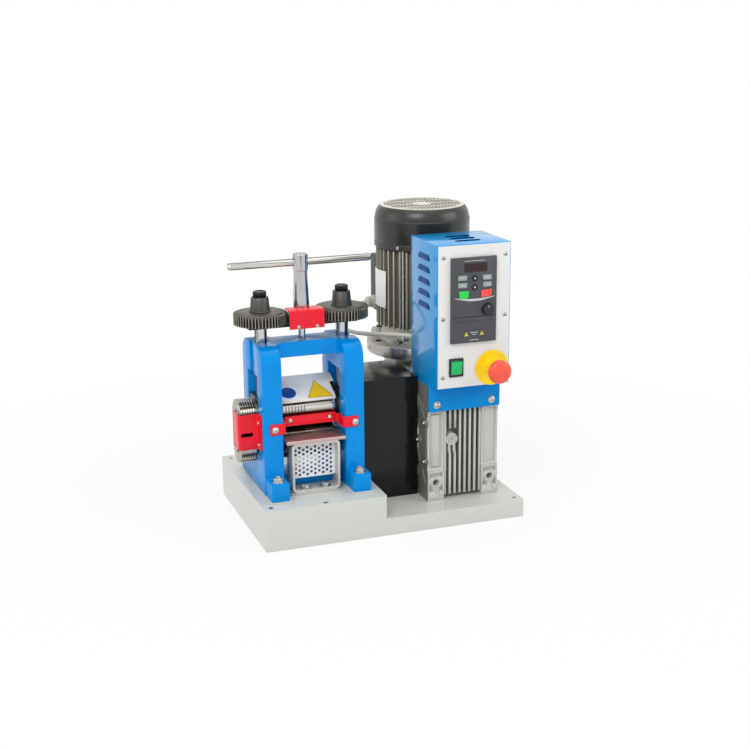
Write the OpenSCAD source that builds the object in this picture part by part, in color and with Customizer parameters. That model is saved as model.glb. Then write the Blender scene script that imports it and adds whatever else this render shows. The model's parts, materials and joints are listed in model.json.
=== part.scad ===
// Electric rolling mill with a worm gear motor: main shape, one module per piece.
// Millimetres, +Z up, origin at the centre of the base underside, mill on the left.

/* [Base] */
// Width of the base
base_w = 461; // [440:1:480]
// Depth of the base
base_d = 300; // [280:1:320]
// Height of the raised part that carries the mill
high_h = 70; // [60:1:80]
// Height of the low part that carries the gearbox
low_h = 30; // [24:1:40]
// Width of the raised part
high_w = 210; // [205:1:215]
// Rounding of the base corners
base_r = 5; // [2:1:10]

/* [Mill frame] */
// Mill centre from the left end of the base
mill_x = 105.5; // [104:0.5:108]
// Roll and screw centre plane from the front of the base
mill_y = 127; // [125:0.5:129]
// Width of each housing
post_w = 33; // [31:1:35]
// Depth of each housing
post_d = 124; // [120:1:128]
// Height of the housing top above the floor
frame_top = 321; // [318:1:324]
// Rounding of the housing shoulders
post_r = 28; // [22:1:32]
// Depth of the housing foot
foot_d = 197; // [190:1:202]
// Width of the front and rear lugs of the foot
lug_w = 30; // [28:1:32]
// Height of the foot lugs
lug_h = 30; // [26:1:34]
// Thickness of the pad under each foot
pad_t = 3; // [2:0.5:4]
// Width of the housing window
window_d = 62; // [60:1:64]
// Top of the housing window
window_top = 270; // [267:1:273]
// Depth of the side recess of each housing
recess_t = 4; // [3:1:5]
// Depth of the top bridge
bridge_d = 48; // [44:1:52]
// Height of the top bridge
bridge_h = 25; // [22:1:28]
// Fillet between bridge and housings
bridge_r = 14; // [10:1:18]
// Height of the lower tie between the housings
tie_h = 19; // [16:1:22]

/* [Rolls] */
// Roll diameter
roll_dia = 55; // [53:1:56]
// Gap between the closed rolls
roll_nip = 0.2; // [0.1:0.1:0.5]
// Height of the lower roll centre
lower_z = 143.5; // [142.5:0.5:145]
// Length of the roll barrel
barrel_w = 97; // [94:1:100]
// Roll journal diameter
journal_dia = 34; // [30:1:36]
// Running clearance on the radius of journals and screws
fit = 0.05; // [0.03:0.01:0.1]
// Width of the side rings
ring_w = 27; // [25:1:29]
// Height of the upper chocks
chock_h = 56; // [54:1:58]
// Slide clearance of the chocks
chock_gap = 0.3; // [0.2:0.1:0.5]

/* [Screw gear] */
// Pressure screw diameter
screw_dia = 21; // [19:1:23]
// Teeth of each screw gear
gear_teeth = 50; // [48:1:52]
// Teeth of the pinion between them
pinion_teeth = 33; // [31:1:35]
// Gear tooth module
gear_module = 1.7; // [1.65:0.05:1.75]
// Underside of the screw gears
gear_z = 352; // [350:1:354]
// Thickness of the screw gears
gear_t = 20; // [18:0.5:21]
// Foot diameter of the hub cone
hub_dia = 35.6; // [34:0.2:38]
// Height of the hub cone
hub_h = 24.5; // [22:0.5:27]
// Length of the bar below the gears
bar_l = 187; // [180:1:192]
// Width of the bar below the gears
bar_w = 26; // [24:1:28]
// Thickness of the bar below the gears
bar_t = 5.5; // [5:0.5:6]
// Width of the red gear cover
cover_w = 60; // [58:1:61]
// Front of the red gear cover ahead of the screws
cover_out = 33; // [31:1:34]
// Depth of the top flange of the gear cover
cover_d = 28; // [26:1:29]
// Sheet thickness of the red gear cover
cover_t = 2; // [1.5:0.5:2.5]
// Length of the cross handle
handle_l = 246; // [240:1:260]
// Cross handle diameter
handle_dia = 12; // [10:1:14]
// Height of the cross handle centre
handle_z = 449.5; // [445:0.5:455]
// Handle head diameter
head_dia = 25.4; // [24:0.2:28]
// Handle head height
head_h = 27.6; // [26:0.2:30]
// Handle shaft diameter at the foot
shaft_dia = 27.2; // [26:0.2:28]
// Handle shaft diameter at the top
shaft_top_dia = 22.4; // [21:0.2:24]
// Guide spindle diameter
spindle_dia = 12; // [10:1:13]

/* [Guards and table] */
// Width of the square table tube
tube_w = 83; // [80:1:84]
// Height of the square table tube
tube_h = 86; // [83:1:88]
// Wall of the square table tube
tube_t = 4; // [3:0.5:5]
// Outer corner radius of the table tube
tube_r = 8; // [6:1:10]
// Length of the table tube from front to back
tube_l = 34; // [30:1:36]
// Front of the table tube ahead of the housings
tube_out = 7; // [5:1:8]
// Width of the table plate
table_w = 102; // [98:1:104]
// Thickness of the table plate
table_t = 6; // [5:0.5:7]
// Depth of the table plate
table_d = 43; // [40:1:44]
// Diameter of the screen holes
hole_dia = 5; // [4:0.5:5.5]
// Pitch of the screen holes
hole_pitch = 7.9; // [7.5:0.1:8.5]
// Thickness of the red guard sheet
guard_t = 2.5; // [2:0.5:3]
// Height of the guard strap
strap_h = 18; // [16:1:20]
// Distance of the finger bar behind the housing fronts
bar_back = 24; // [22:1:26]
// Height of the finger bar
finger_h = 14.5; // [13:0.5:16]
// Height of the side ring guard
ring_guard_h = 60; // [56:1:64]
// Length of the wire slot
slot_l = 22; // [20:1:23]
// Height of the wire slot
slot_h = 7; // [6:1:8]
// Slope of the plate over the upper roll
rear_tilt = 26; // [25:1:28]
// Length of that plate along its slope
rear_l = 62.5; // [60:0.5:65]

/* [Drive] */
// Width of the gearbox
gear_w = 130; // [128:1:132]
// Height of the gearbox
gear_h = 206; // [204:1:208]
// Depth of the gearbox
gear_d = 238; // [236:1:240]
// Front of the gearbox from the front of the base
gear_y = 50; // [48:1:52]
// Left side of the gearbox from the left end of the base
gear_x = 301.5; // [300:0.5:303]
// Worm shaft axis behind the gearbox front
worm_y = 193; // [190:1:195]
// Output axis above the gearbox bottom and behind its front
output_o = 103; // [102:1:104]
// Fixing hole spacing across
hole_gap_x = 100; // [98:1:102]
// Fixing hole spacing upwards
hole_gap_z = 140; // [138:1:142]
// Ribs on the gearbox front
rib_n = 8; // [6:1:10]
// Front of the black drive cover from the front of the base
dcover_y = 93; // [91:1:95]
// Top of the black drive cover
dcover_top = 244; // [242:1:246]
// Motor flange diameter
flange_dia = 200; // [196:1:200]
// Height of the neck between gearbox and motor flange
neck_h = 17; // [14:1:20]
// Bolt circle radius of the motor flange
flange_bolt_r = 82.5; // [81:0.5:83]
// Diameter of the output cover on the gearbox side
out_dia = 124; // [118:1:128]
// Bolt circle radius of the output cover
out_bolt_r = 52; // [50:1:53]
// Thickness of the motor flange
flange_t = 20; // [18:1:22]
// Diameter of the flange at the foot of the motor
mflange_dia = 186; // [180:1:190]
// Thickness of the flange at the foot of the motor
mflange_t = 12; // [10:1:14]
// Motor diameter over the fins
motor_dia = 164; // [158:1:166]
// Motor diameter between the fins
core_dia = 148; // [144:1:150]
// Fins around the motor
fin_n = 40; // [36:2:44]
// Fin thickness
fin_t = 3; // [2.5:0.5:3.5]
// Height of the finned motor body
fins_h = 158; // [150:1:165]
// Height of the fan cowl
cowl_h = 73; // [68:1:78]
// Fan cowl diameter
cowl_dia = 170; // [168:1:172]
// Fan cowl top diameter
cowl_top_dia = 150; // [146:1:154]

/* [Control box] */
// Apron of the bracket below its bolts
bracket_edge = 11.5; // [10:0.5:14]
// Depth of the control box
box_d = 117; // [112:1:120]
// Height of the control box
box_h = 240; // [236:1:244]
// Front panel thickness
panel_t = 2; // [1.5:0.5:3]
// Front panel face from the front of the base
panel_y = 9; // [7:1:11]
// Width of the drive unit
vfd_w = 80; // [78:1:82]
// Height of the drive unit
vfd_h = 142; // [138:1:144]
// Drive unit in front of the panel
vfd_t = 6; // [4:1:8]
// Dial diameter
dial_dia = 17.5; // [16:0.5:19]
// Stop button collar diameter
collar_dia = 60; // [56:1:60]
// Stop button diameter
button_dia = 40; // [38:1:42]
// Louvers on the left side of the control box
louver_n = 5; // [4:1:6]

/* [Hidden] */
$fn = 64;
e = 0.01;
// distance between the two pressure screws, set by the gears
screw_gap = (gear_teeth + pinion_teeth) * gear_module;
// heights and levels of the mill
pad_top = high_h + pad_t;
upper_z = lower_z + roll_dia + roll_nip;
nip_z = lower_z + roll_dia / 2;
window_bot = nip_z + 0.8;
chock_bot = window_bot + 0.4;
chock_top = chock_bot + chock_h;
post_h = frame_top - pad_top;
bridge_z = frame_top - bridge_h;
post_y = mill_y - post_d / 2;
foot_y = mill_y - foot_d / 2;
inner_l = mill_x - screw_gap / 2 + post_w / 2;
inner_r = mill_x + screw_gap / 2 - post_w / 2;
inner_w = inner_r - inner_l;
outer_l = inner_l - post_w;
outer_r = inner_r + post_w;
side_recess_d = 26;
// foot bolt holes
foot_bolt_dia = 12;
foot_bolt_in = 15;
// rolls and rings
ring_x = outer_l - 3 - ring_w;
groove_n = 6;
groove_in = 3.3;
groove_pitch = (ring_w - 2 * groove_in) / (groove_n - 1);
groove_r = 1.3;
ring_eye_r = 10;
ring_eye_t = 3;
journal_end_r = outer_r + 2.5;
// pressure screw gears
pitch_r = gear_teeth * gear_module / 2;
tip_r = pitch_r + gear_module;
root_r = pitch_r - 1.25 * gear_module;
rim_r = root_r - 1.4;
rim_h = 1;
pinion_r = screw_gap / 2 - tip_r - 0.6;
pinion_t = 13;
tooth_h = 3.6;
bar_z = gear_z - 2 - bar_t;
gcover_z = bar_z - 0.5;
gcover_top = gear_z + gear_t + 1.5 + cover_t;
cap_dia = 22;
cap_h = 10;
cone_top_dia = 30;
// guards
strap_z = nip_z + 6;
strap_back = post_y + bar_back;
strap_in = 5;
strap_low = 4;
finger_z = strap_z + 7;
finger_in = 9.5;
finger_w = inner_w - 2 * finger_in;
tab_w = 22;
lip_d = 5;
rguard_y = mill_y - roll_dia / 2 - 5;
rguard_x = ring_x - 6.5;
rguard_z = nip_z + 7 - ring_guard_h / 2;
rguard_tab = 18.5;
rguard_side = 31.5;
rguard_lead = 3.5;
slot_x = rguard_x + guard_t + 1.5;
slot_z = nip_z + 2.4;
// plate over the upper roll, carried by ears on the chocks
chock_w = post_w - 3;
chock_in = screw_gap / 2 - chock_w / 2;
rear_t = 1.5;
rear_y = mill_y - roll_dia / 2 - 2;
rear_z = upper_z + 24;
rear_w = inner_w - 12;
rear_lip = 4.5;
ear_t = 2;
ear_y = 34.5;
ear_l = 20;
ear_low = 6;
// table
tube_y = post_y - tube_out;
tube_z = pad_top;
table_z = tube_z + tube_h;
table_bevel = 4;
screen_t = 1.5;
screen_in = 20;
screen_r = tube_r - tube_t + 0.5;
screen_w = tube_w - 2 * tube_t;
screen_gap = 16;
hole_low = 5;
screen_z = tube_z + tube_t + screen_gap;
screen_h = tube_h - 2 * tube_t - screen_gap;
tie_y = tube_y + tube_l + 2;
tie_d = 60;
// drive
low_z = low_h;
gear_top = low_z + gear_h;
output_y = gear_y + output_o;
output_z = low_z + output_o;
worm_x = gear_x + gear_w / 2;
worm_z_y = gear_y + worm_y;
hole_z0 = low_z + (gear_h - hole_gap_z) / 2;
leg_w = 30;
leg_t = 14;
leg_h = 54;
post_in = 2.5;
plug_x = 45;
plug_z = 107;
plug_r = 11;
rib_pitch = 9.2;
rib_w = 4;
rib_low = 8;
rib_top = 34;
dcover_x = outer_r + 3;
dcover_d = 2 * (output_y - dcover_y);
dcover_low_x = high_w + 2;
flange_z = gear_top + neck_h;
mflange_z = flange_z + flange_t;
motor_z = mflange_z + mflange_t;
mflange_w = 162;
cowl_z = motor_z + fins_h;
flange_hole_r = 6;
seam_h = 50;
cowl_step = 0.8;
cowl_bend_h = 9;
cowl_bend_in = 4;
tbox_w = 108;
tbox_d = 42;
tbox_z = motor_z + 21;
tbox_h = 104;
tbox_y = worm_z_y + core_dia / 2 - 6;
gland_dia = 24;
gland_l = 21;
gland_x = worm_x - tbox_w / 2;
gland_y = tbox_y + 26;
gland_z = tbox_z + 18;
gland_nut = 8;
// control box on its bracket
bracket_t = 5;
box_x = gear_x;
box_w = gear_w;
box_y = panel_y + panel_t;
box_z = gear_top + bracket_t;
box_top = box_z + box_h;
bracket_y = gear_y - bracket_t;
bracket_bolt_z = hole_z0 + hole_gap_z;
bracket_z = bracket_bolt_z - bracket_edge;
fix_hole_r = 5.5;
vfd_x = box_x + 22;
vfd_z = box_z + 77;
dial_x = box_x + 86;
dial_z = box_z + 131.5;
switch_x = box_x + 33;
switch_z = box_z + 35.5;
switch_w = 25;
switch_h = 31;
rocker_w = 19;
rocker_h = 25;
rocker_r = rocker_h / 2 - 1.5;
rocker_gap = 0.5;
rocker_pin = 1.5;
stop_x = box_x + 98;
stop_z = box_z + 29.5;
collar_t = 6;
stem_dia = 28;
stem_l = 14;
stop_shaft_r = 8;
button_t = 15;
button_throw = 5;
louver_z0 = box_top - 112;
louver_pitch = 22.5;
louver_t = 3;
louver_l = 54;
plate_w = 52;
plate_h = 66;
plate_z = motor_z + 52;
plate_t = 1.2;
// motor cable, from the gland round behind the right gear to the control box
cable_dia = 7.5;
cable_path = [
  [gland_x - gland_l, gland_y, gland_z],
  [275, 336, 322], [258, 329, 318], [243, 316, 313],
  [231, 298, 307], [224, 278, 302], [222, 258, 298],
  [226, 240, 296.5], [235, 223, 296], [248, 208, 296.5],
  [262, 194, 297.5], [275, 180, 299], [287, 166, 300.5],
  [297, 152, 302], [304, 140, 303],
  [308, 133, 303.5], [308, box_y + box_d, 303.5]
];

// ---- helpers ----
module at_base() translate([-base_w / 2, -base_d / 2, 0]) children();

module box(x, y, z, w, d, h) translate([x, y, z]) cube([w, d, h]);

module rbox(w, d, h, r) {
  linear_extrude(h) union() {
    translate([r, 0]) square([w - 2 * r, d]);
    translate([0, r]) square([w, d - 2 * r]);
    for (x = [r, w - r], y = [r, d - r]) translate([x, y]) circle(r);
  }
}

// cylinder along +Y from a point
module ycyl(x, y, z, r, l) translate([x, y, z]) rotate([-90, 0, 0]) cylinder(h = l, r = r);

// cylinder along +X from a point
module xcyl(x, y, z, r, l) translate([x, y, z]) rotate([0, 90, 0]) cylinder(h = l, r = r);

// cylinder along +Z from a point
module zcyl(x, y, z, r, l) translate([x, y, z]) cylinder(h = l, r = r);

// outline in the Y-Z plane, extruded along +X
module yz_slab(x, w) translate([x, 0, 0]) rotate([90, 0, 90]) linear_extrude(w) children();

function screw_x(s) = mill_x + s * screw_gap / 2;

function tooth(i, n, r0, r1) = let (a = 360 / n) [
  [r0 * cos(a * (i - 0.30)), r0 * sin(a * (i - 0.30))],
  [r1 * cos(a * (i - 0.12)), r1 * sin(a * (i - 0.12))],
  [r1 * cos(a * (i + 0.12)), r1 * sin(a * (i + 0.12))],
  [r0 * cos(a * (i + 0.30)), r0 * sin(a * (i + 0.30))]
];

module toothed(n, r0, r1, h)
  linear_extrude(h) polygon([for (i = [0 : n - 1]) each tooth(i, n, r0, r1)]);

// ---- base ----
module base_pan() at_base() color("#d2d4cd") {
  rbox(base_w, base_d, low_h, base_r);
  translate([0, 0, low_h - e]) rbox(high_w, base_d, high_h - low_h + e, base_r);
}

module foot_pad(s) at_base() color("#c9cbc6") difference() {
  union() {
    box(screw_x(s) - post_w / 2 - 1.5, foot_y - 3, high_h, post_w + 3, foot_d + 6, pad_t);
    box(screw_x(s) - post_w / 2 - 6, mill_y - 14, high_h, 8, 16, pad_t);
  }
  for (y = [foot_y + foot_bolt_in, foot_y + foot_d - foot_bolt_in])
    zcyl(screw_x(s), y, high_h - 1, foot_bolt_dia / 2, pad_t + 2);
}

module left_pad() foot_pad(-1);

module right_pad() foot_pad(1);

// ---- mill frame ----
module post_profile() {
  translate([post_y, pad_top]) square([post_d, post_h - post_r]);
  translate([post_y + post_r, pad_top]) square([post_d - 2 * post_r, post_h]);
  for (y = [post_y + post_r, post_y + post_d - post_r])
    translate([y, frame_top - post_r]) circle(post_r);
}

module housing(s) at_base() color("#0088e6") {
  cx = screw_x(s);
  side = s < 0 ? cx - post_w / 2 - 1 : cx + post_w / 2 - recess_t;
  difference() {
    union() {
      yz_slab(cx - post_w / 2, post_w) post_profile();
      box(cx - lug_w / 2, foot_y, pad_top, lug_w, foot_d, lug_h);
    }
    box(cx - post_w, mill_y - window_d / 2, window_bot, 2 * post_w, window_d, window_top - window_bot);
    box(side, mill_y - side_recess_d / 2, window_top - 1, recess_t + 1, side_recess_d,
        frame_top - window_top + 2);
    xcyl(cx - post_w, mill_y, lower_z, journal_dia / 2 + fit, 2 * post_w);
    zcyl(cx, mill_y, window_top - 1, screw_dia / 2 + fit, frame_top - window_top + 2);
    for (y = [foot_y + foot_bolt_in, foot_y + foot_d - foot_bolt_in])
      zcyl(cx, y, pad_top - 1, foot_bolt_dia / 2, lug_h + 2);
  }
}

module left_housing() housing(-1);

module right_housing() housing(1);

module top_bridge() at_base() color("#0088e6") difference() {
  union() {
    box(inner_l, mill_y - bridge_d / 2, bridge_z, inner_w, bridge_d, bridge_h);
    corner_fillet(inner_l, 1, 1);
    corner_fillet(inner_l, 1, -1);
    corner_fillet(inner_r, -1, 1);
    corner_fillet(inner_r, -1, -1);
  }
  zcyl(mill_x, mill_y, bridge_z - 1, spindle_dia / 2 + fit, bridge_h + 2);
}

// concave corner piece between a housing side and the bridge
module corner_fillet(x, sx, sy) {
  y = mill_y + sy * bridge_d / 2;
  difference() {
    box(min(x, x + sx * bridge_r), min(y - sy * e, y + sy * bridge_r), bridge_z,
        bridge_r, bridge_r + e, bridge_h);
    zcyl(x + sx * bridge_r, y + sy * bridge_r, bridge_z - 1, bridge_r, bridge_h + 2);
  }
}

module lower_tie() at_base() color("#0079cf")
  box(inner_l, tie_y, pad_top, inner_w, tie_d, tie_h);

// ---- rolls ----
module lower_roll() at_base() color("#c4c2be") {
  xcyl(mill_x - barrel_w / 2, mill_y, lower_z, roll_dia / 2, barrel_w);
  xcyl(ring_x + ring_w, mill_y, lower_z, journal_dia / 2, journal_end_r - ring_x - ring_w);
}

module upper_roll() at_base() color("#d0cecb") {
  xcyl(mill_x - barrel_w / 2, mill_y, upper_z, roll_dia / 2, barrel_w);
  xcyl(ring_x + ring_w, mill_y, upper_z, journal_dia / 2, journal_end_r - ring_x - ring_w);
}

module side_ring(z) at_base() color("#b9b4aa") difference() {
  xcyl(ring_x, mill_y, z, roll_dia / 2, ring_w);
  for (i = [0 : groove_n - 1]) groove(ring_x + groove_in + i * groove_pitch, z);
  xcyl(ring_x - 1, mill_y, z, ring_eye_r, ring_eye_t + 1);
}

// half-round wire groove cut round a ring
module groove(x, z) translate([x, mill_y, z]) rotate([0, 90, 0])
  rotate_extrude() translate([roll_dia / 2, 0]) circle(groove_r);

module lower_ring() side_ring(lower_z);

module upper_ring() side_ring(upper_z);

module upper_chock(s) at_base() color("#a9a7a2") {
  d = window_d - 2 * chock_gap;
  difference() {
    box(screw_x(s) - chock_w / 2, mill_y - d / 2, chock_bot, chock_w, d, chock_h);
    xcyl(screw_x(s) - chock_w, mill_y, upper_z, journal_dia / 2 + fit, 2 * chock_w);
  }
}

module left_chock() upper_chock(-1);

module right_chock() upper_chock(1);

// ---- screw gear ----
module screw(s) at_base() color("#d8d9dc")
  zcyl(screw_x(s), mill_y, chock_top, screw_dia / 2, gear_z - chock_top);

module left_screw() screw(-1);

module right_screw() screw(1);

module screw_gear(s) at_base() color("#6b6762") translate([screw_x(s), mill_y, gear_z]) {
  toothed(gear_teeth, root_r, tip_r, gear_t - rim_h);
  cylinder(h = gear_t, r = rim_r);
  translate([0, 0, gear_t - e]) cylinder(h = hub_h, d1 = hub_dia, d2 = cone_top_dia);
  translate([0, 0, gear_t + hub_h - 2 * e]) cylinder(h = cap_h, d = cap_dia);
}

module left_gear() screw_gear(-1);

module right_gear() screw_gear(1);

module gear_bar() at_base() color("#2b2a29") difference() {
  box(mill_x - bar_l / 2, mill_y - bar_w / 2, bar_z, bar_l, bar_w, bar_t);
  for (s = [-1, 1]) zcyl(screw_x(s), mill_y, bar_z - 1, screw_dia / 2 + fit, bar_t + 2);
}

// front wall, a top flange notched for the shaft, and a lower flange to the bar
module gear_cover() at_base() color("#eb1428") {
  y = mill_y - cover_out;
  x = mill_x - cover_w / 2;
  box(x, y, gcover_z, cover_w, cover_t, gcover_top - gcover_z);
  difference() {
    box(x, y, gcover_top - cover_t, cover_w, cover_d, cover_t);
    zcyl(mill_x, mill_y, gcover_top - cover_t - 1, shaft_dia / 2 + 1, cover_t + 2);
  }
  box(x + 4, y, bar_z, cover_w - 8, cover_out - bar_w / 2, cover_t);
}

module pinion() at_base() color("#7a766f") translate([mill_x, mill_y, bar_z + bar_t + 1])
  toothed(pinion_teeth, pinion_r - tooth_h, pinion_r, pinion_t);

module handle_shaft() at_base() color("#d9dade") difference() {
  z0 = bar_z + bar_t + 1 + pinion_t;
  z1 = handle_z - head_h / 2;
  union() {
    zcyl(mill_x, mill_y, z0, shaft_dia / 2, gcover_top - z0 + e);
    translate([mill_x, mill_y, gcover_top])
      cylinder(h = z1 - gcover_top, r1 = shaft_dia / 2, r2 = shaft_top_dia / 2);
    zcyl(mill_x, mill_y, z1 - e, head_dia / 2, head_h);
  }
  xcyl(mill_x - head_dia, mill_y, handle_z, handle_dia / 2, 2 * head_dia);
}

module handle_bar() at_base() color("#d9dade") {
  r = handle_dia / 2;
  xcyl(mill_x - handle_l / 2 + r, mill_y, handle_z, r, handle_l - 2 * r);
  for (s = [-1, 1]) translate([mill_x + s * (handle_l / 2 - r), mill_y, handle_z]) sphere(r);
}

module guide_spindle() at_base() color("#c9cacc")
  zcyl(mill_x, mill_y, bridge_z + 2, spindle_dia / 2, bar_z - bridge_z - 2);

// ---- guards and table ----
module table_tube() at_base() color("#c9c7c1") {
  difference() {
    translate([mill_x - tube_w / 2, tube_y + tube_l, tube_z]) rotate([90, 0, 0])
      rbox(tube_w, tube_h, tube_l, tube_r);
    translate([mill_x - tube_w / 2 + tube_t, tube_y + tube_l + 1, tube_z + tube_t])
      rotate([90, 0, 0])
        rbox(tube_w - 2 * tube_t, tube_h - 2 * tube_t, tube_l + 2, tube_r - tube_t);
  }
  box(mill_x - tube_w / 2 - 2, tube_y - 1, high_h, tube_w + 4, tube_l + 2, pad_t + e);
}

module table_plate() at_base() color("#b3aca6") {
  y = tube_y - 3;
  yz_slab(mill_x - table_w / 2, table_w) polygon([[y, table_z], [y + table_d, table_z],
    [y + table_d + table_bevel, table_z + table_t], [y, table_z + table_t]]);
}

module screen_hole(c, r) {
  x = mill_x + (c + 0.5) * hole_pitch * cos(30);
  z = screen_z + hole_low + (r + (c % 2 == 0 ? 0 : 0.5)) * hole_pitch;
  ycyl(x, tube_y, z, hole_dia / 2, tube_l);
}

module perforated_screen() at_base() color("#e8e8ea") difference() {
  translate([mill_x - screen_w / 2, tube_y + screen_in, screen_z]) rotate([90, 0, 0])
    rbox(screen_w, screen_h, screen_t, screen_r);
  for (c = [-5, -2, 1, 4], r = [0, 3, 5]) screen_hole(c, r);
}

// bent red strip: tabs on the housings, returns, and a straight run behind the bar
module guard_strap() at_base() color("#eb1428") {
  for (s = [-1, 1]) {
    xi = mill_x + s * (inner_w / 2 - strap_in);
    x0 = mill_x + s * (inner_w / 2 + tab_w);
    box(min(xi, x0), post_y - guard_t, strap_z, abs(x0 - xi), guard_t, strap_h);
    box(s < 0 ? xi - guard_t : xi, post_y - guard_t, strap_z, guard_t, bar_back + guard_t + e, strap_h);
  }
  box(mill_x - inner_w / 2 + strap_in - guard_t, strap_back, strap_z + strap_low,
      inner_w - 2 * strap_in + 2 * guard_t, guard_t, strap_h - strap_low);
}

module guard_bar() at_base() color("#f01c30") {
  x = mill_x - finger_w / 2;
  box(x, strap_back - guard_t, finger_z, finger_w, guard_t, finger_h);
  box(x, strap_back - guard_t - lip_d, finger_z, finger_w, lip_d + e, guard_t);
}

// bent sheet round the front and left of the side rings, screwed to the housing
module ring_guard() at_base() color("#eb1428") difference() {
  t = guard_t;
  y0 = rguard_y - t - rguard_lead;
  y1 = rguard_y + rguard_side;
  translate([0, 0, rguard_z]) linear_extrude(ring_guard_h) polygon([
    [rguard_x, y1], [rguard_x, y0], [outer_l - t, rguard_y - t],
    [outer_l - t, rguard_y - t - rguard_tab], [outer_l, rguard_y - t - rguard_tab],
    [outer_l, rguard_y], [rguard_x + t, y0 + t], [rguard_x + t, y1]]);
  box(slot_x, y0 - t, slot_z - slot_h / 2, slot_l, 5 * t, slot_h);
}

// bent plate: lip, slope, a strip out to the chocks and two ears against them
module rear_plate() at_base() color("#d4d1cc") translate([0, rear_y, rear_z]) {
  t = rear_t;
  rise = tan(rear_tilt);
  down = t / cos(rear_tilt);
  far = rear_l * cos(rear_tilt);
  ear_end = ear_y + ear_l;
  bottom = chock_top - ear_low - rear_z;
  yz_slab(mill_x - rear_w / 2, rear_w) polygon([[0, -rear_lip], [0, 0], [far, far * rise],
    [far, far * rise - down], [t, t * rise - down], [t, -rear_lip]]);
  yz_slab(mill_x - chock_in, 2 * chock_in) polygon([[ear_y, ear_y * rise], [ear_end, ear_end * rise],
    [ear_end, ear_end * rise - down], [ear_y, ear_y * rise - down]]);
  for (x = [mill_x - chock_in, mill_x + chock_in - ear_t])
    yz_slab(x, ear_t) polygon([[ear_y, bottom], [ear_end, bottom],
      [ear_end, ear_end * rise - t / 2], [ear_y, ear_y * rise - t / 2]]);
}

// ---- drive ----
module drive_cover() at_base() color("#232421") {
  w = gear_x - 2 - dcover_x;
  box(dcover_x, dcover_y, pad_top, w, dcover_d, dcover_top - pad_top);
  box(dcover_low_x, dcover_y, low_z, gear_x - 2 - dcover_low_x, dcover_d, pad_top - low_z + e);
}

// hole pad at a corner of the front, and the post between two of them
module gear_pad(x, z) box(x, gear_y, z, leg_w, leg_t + 30, leg_h);

module gear_post(x) box(x, gear_y + post_in, low_z, leg_w, leg_t + 30, gear_h);

module gearbox() at_base() color("#c6c6c1") difference() {
  union() {
    box(gear_x + 6, gear_y + leg_t, low_z, gear_w - 12, gear_d - leg_t - 8, gear_h);
    for (x = [gear_x, gear_x + gear_w - leg_w], z = [low_z, gear_top - leg_h]) gear_pad(x, z);
    for (x = [gear_x, gear_x + gear_w - leg_w]) gear_post(x);
    for (i = [0 : rib_n - 1])
      box(worm_x - (rib_n - 1) * rib_pitch / 2 + i * rib_pitch - rib_w / 2, gear_y + 3,
          low_z + rib_low, rib_w, leg_t, gear_h - rib_low - rib_top);
    for (s = [-1, 1]) xcyl(worm_x - gear_w / 2 + (s > 0 ? gear_w - 8 : 0), output_y, output_z, 74, 8);
    ycyl(worm_x, gear_y + gear_d - 9, gear_top - 60, 40, 9);
    zcyl(worm_x, worm_z_y, gear_top - e, gear_d - worm_y, flange_z - gear_top + e);
    ycyl(gear_x + plug_x, gear_y + 2, low_z + plug_z, plug_r, leg_t);
  }
  for (x = [-1, 1], z = [0, hole_gap_z])
    ycyl(worm_x + x * hole_gap_x / 2, gear_y - 1, hole_z0 + z, fix_hole_r, 26);
}

module output_flange() at_base() color("#b9b9b4") difference() {
  xcyl(gear_x - 2, output_y, output_z, out_dia / 2, 2);
  for (a = [0 : 60 : 300])
    xcyl(gear_x - 3, output_y + out_bolt_r * cos(a), output_z + out_bolt_r * sin(a), 4, 4);
}

module input_flange() at_base() color("#bcb8b0") difference() {
  zcyl(worm_x, worm_z_y, flange_z, flange_dia / 2, flange_t);
  for (a = [45 : 90 : 315])
    zcyl(worm_x + flange_bolt_r * cos(a), worm_z_y + flange_bolt_r * sin(a), flange_z - 1,
         flange_hole_r, flange_t + 2);
}

module motor_body() at_base() color("#827d73") translate([worm_x, worm_z_y, 0]) {
  difference() {
    intersection() {
      zcyl(0, 0, mflange_z, mflange_dia / 2, mflange_t);
      box(-mflange_w / 2, -mflange_w / 2, mflange_z - 1, mflange_w, mflange_w, mflange_t + 2);
    }
    for (a = [45 : 90 : 315])
      zcyl(flange_bolt_r * cos(a), flange_bolt_r * sin(a), mflange_z - 1, flange_hole_r, mflange_t + 2);
  }
  zcyl(0, 0, motor_z - e, core_dia / 2, fins_h + e);
  for (i = [0 : fin_n - 1]) rotate([0, 0, (i + 0.5) * 360 / fin_n])
    box(core_dia / 2 - 3, -fin_t / 2, motor_z + 8, (motor_dia - core_dia) / 2 + 3, fin_t,
        cowl_z - motor_z - 10);
  box(-tbox_w / 2 + 8, core_dia / 2 - 6, tbox_z + 8, tbox_w - 16, (motor_dia - core_dia) / 2 + 6,
      tbox_h - 16);
}

// spun hood: a bead below the seam, then two cones that narrow to the flat top
module fan_cowl() at_base() color("#3c3c3c") translate([worm_x, worm_z_y, cowl_z]) {
  r = cowl_dia / 2 - cowl_step;
  bend_z = cowl_h - cowl_bend_h;
  bend_r = cowl_dia / 2 - cowl_bend_in;
  cylinder(h = seam_h, r = cowl_dia / 2);
  translate([0, 0, seam_h - e]) cylinder(h = bend_z - seam_h + e, r1 = r, r2 = bend_r);
  translate([0, 0, bend_z - e])
    cylinder(h = cowl_bend_h + e, r1 = bend_r, r2 = cowl_top_dia / 2);
}

module terminal_box() at_base() color("#3a3a39")
  box(worm_x - tbox_w / 2, worm_z_y + motor_dia / 2, tbox_z, tbox_w, tbox_d, tbox_h);

module cable_gland() at_base() color("#c9c9c3") {
  xcyl(gland_x - gland_nut, gland_y, gland_z, gland_dia / 2, gland_nut);
  xcyl(gland_x - gland_l, gland_y, gland_z, gland_dia / 2 - 2, gland_l - gland_nut + e);
}

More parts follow.
